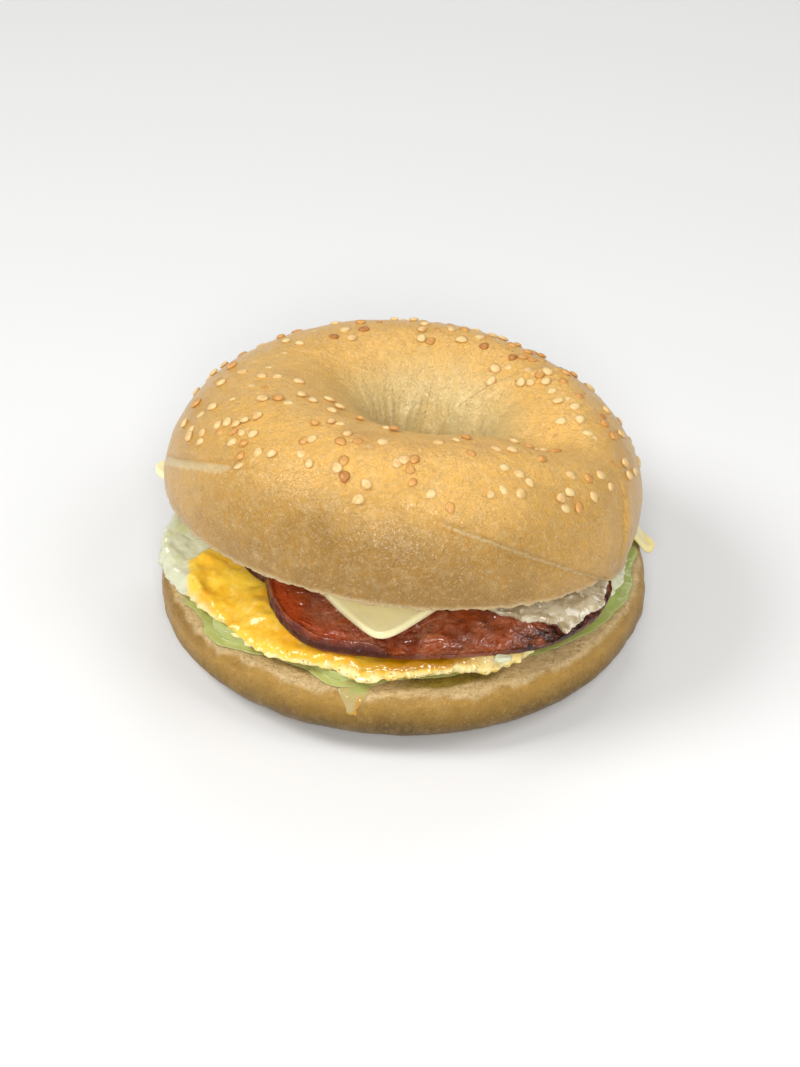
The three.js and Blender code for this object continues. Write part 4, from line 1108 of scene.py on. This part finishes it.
def makeWhiteFlap(material, eggLike):
    # A flap on the bacon: lumpy, rounded along its front, torn to a tip, and thin at its left end.
    def radiusAt(azimuth):
        return flapOutline(azimuth) + 0.35 * around(azimuth, 70, 81) + 0.2 * around(azimuth, 170, 82)
    x, y, z, level, _, rim = slabGrid({
        "around": 400, "rings": 44, "edgeRings": 8, "x": whiteFlap["x"], "y": whiteFlap["y"], "edge": 0.8,
        "radiusAt": radiusAt, "bottomAt": lambda x, y: fillingTopAt(x, y) + gap, "topAt": flapTopAt})
    skin = flat(x, y, z)
    lumps = 0.55 * noise(skin, 6, 83) + 0.1 * noise(skin, 2.2, 84)
    thin = whiteFlap["thinEnd"] * smooth(30, 23, x)
    z = z + np.maximum(0, level) * (lumps - thin) * smooth(0.1, 1.2, rim)
    makeSlab("eggWhiteFlap", x, y, z, material, "egg_white_flap")
    for bit, lies, yolk in zip(smallBits, (eggTopAt, flapTopAt), (0, 1)):
        x, y, z, level, _, _ = slabGrid({
            "around": 60, "rings": 8, "edgeRings": 5, "x": bit["x"], "y": bit["y"], "edge": 0.5,
            "radiusAt": ovalRadius(bit, 0.1, 3), "bottomAt": lambda x, y: lies(x, y) - bit["sunk"],
            "topAt": lambda x, y: lies(x, y) - bit["sunk"] + bit["thickness"]})
        z = z + np.maximum(0, level) * 0.3 * noise(flat(x, y, z), 1.2, 85)
        fields = {"yolk": yolk + 0 * x, "fringe": 0 * x, "shaded": 0 * x}
        makeSlab(bit["name"], x, y, z, eggLike, None, fields)


# Places and sizes are in metres, cameraTilt is in degrees, and focal is in pixels of a picture that is
# pictureHeight pixels high.
room = {
    "floor": "#e2e2e1", "floorReach": 3, "world": 0.27, "aim": (0, 0, 0.03),
    "camera": (-0.001195, -0.562241, 0.442138), "cameraTilt": 53, "focal": 2867.74, "pictureHeight": 1067,
    "sensor": 36,
    "lights": {  # each one's place, size and power
        "keyLight": [(-0.60, -0.12, 0.74), 0.42, 5.0], "fillLight": [(0.50, -0.28, 0.76), 0.5, 2.5],
        "frontLight": [(0.0, -0.78, 0.56), 0.28, 5.2], "backLight": [(0.15, 0.55, 0.75), 0.5, 1.5],
    },
}


def makeRoom():
    # A pale floor, soft light from the upper left and the front, weaker from the right and behind, and the
    # camera.
    far = room["floorReach"]
    mesh = bpy.data.meshes.new("floor")
    mesh.from_pydata([(-far, -far, 0), (far, -far, 0), (far, far, 0), (-far, far, 0)], [], [(0, 1, 2, 3)])
    material, tree, place, _ = startMaterial("palePaper")
    finish(tree, shade(room["floor"]), {"Roughness": 0.7}, [(blotches(tree, place, 2.5, 0, 1), 0.02)])
    mesh.materials.append(material)
    floor = bpy.data.objects.new("floor", mesh)
    bpy.context.collection.objects.link(floor)
    world = bpy.data.worlds.new("studio")
    world.use_nodes = True
    world.node_tree.nodes["Background"].inputs["Color"].default_value = shade("#ffffff")
    world.node_tree.nodes["Background"].inputs["Strength"].default_value = room["world"]
    bpy.context.scene.world = world
    for name, (place, size, power) in room["lights"].items():
        lamp = bpy.data.lights.new(name, "AREA")
        lamp.shape, lamp.size, lamp.energy = "DISK", size, power
        light = bpy.data.objects.new(name, lamp)
        light.location = place
        light.rotation_euler = (Vector(room["aim"]) - light.location).to_track_quat("-Z", "Y").to_euler()
        bpy.context.collection.objects.link(light)
    lens = bpy.data.cameras.new("camera")
    lens.sensor_fit, lens.sensor_height, lens.sensor_width = "AUTO", room["sensor"], room["sensor"]
    lens.lens = room["focal"] / room["pictureHeight"] * room["sensor"]
    camera = bpy.data.objects.new("camera", lens)
    camera.location = room["camera"]
    camera.rotation_euler = (math.radians(room["cameraTilt"]), 0, 0)
    bpy.context.collection.objects.link(camera)
    bpy.context.scene.camera = camera
    bpy.context.scene.view_settings.view_transform = "Standard"
    print("floor, lights and camera")


makeRoom()
makeTopCrust()
makeSeeds()
makeBottomHalf()
makeSpread(spreadMaterial())
makeDrip()
friedEgg = eggMaterial()
makeEgg(friedEgg)
makeBacon(baconMaterial())
makeCheese()
makeWhiteFlap(whiteMaterial(), friedEgg)
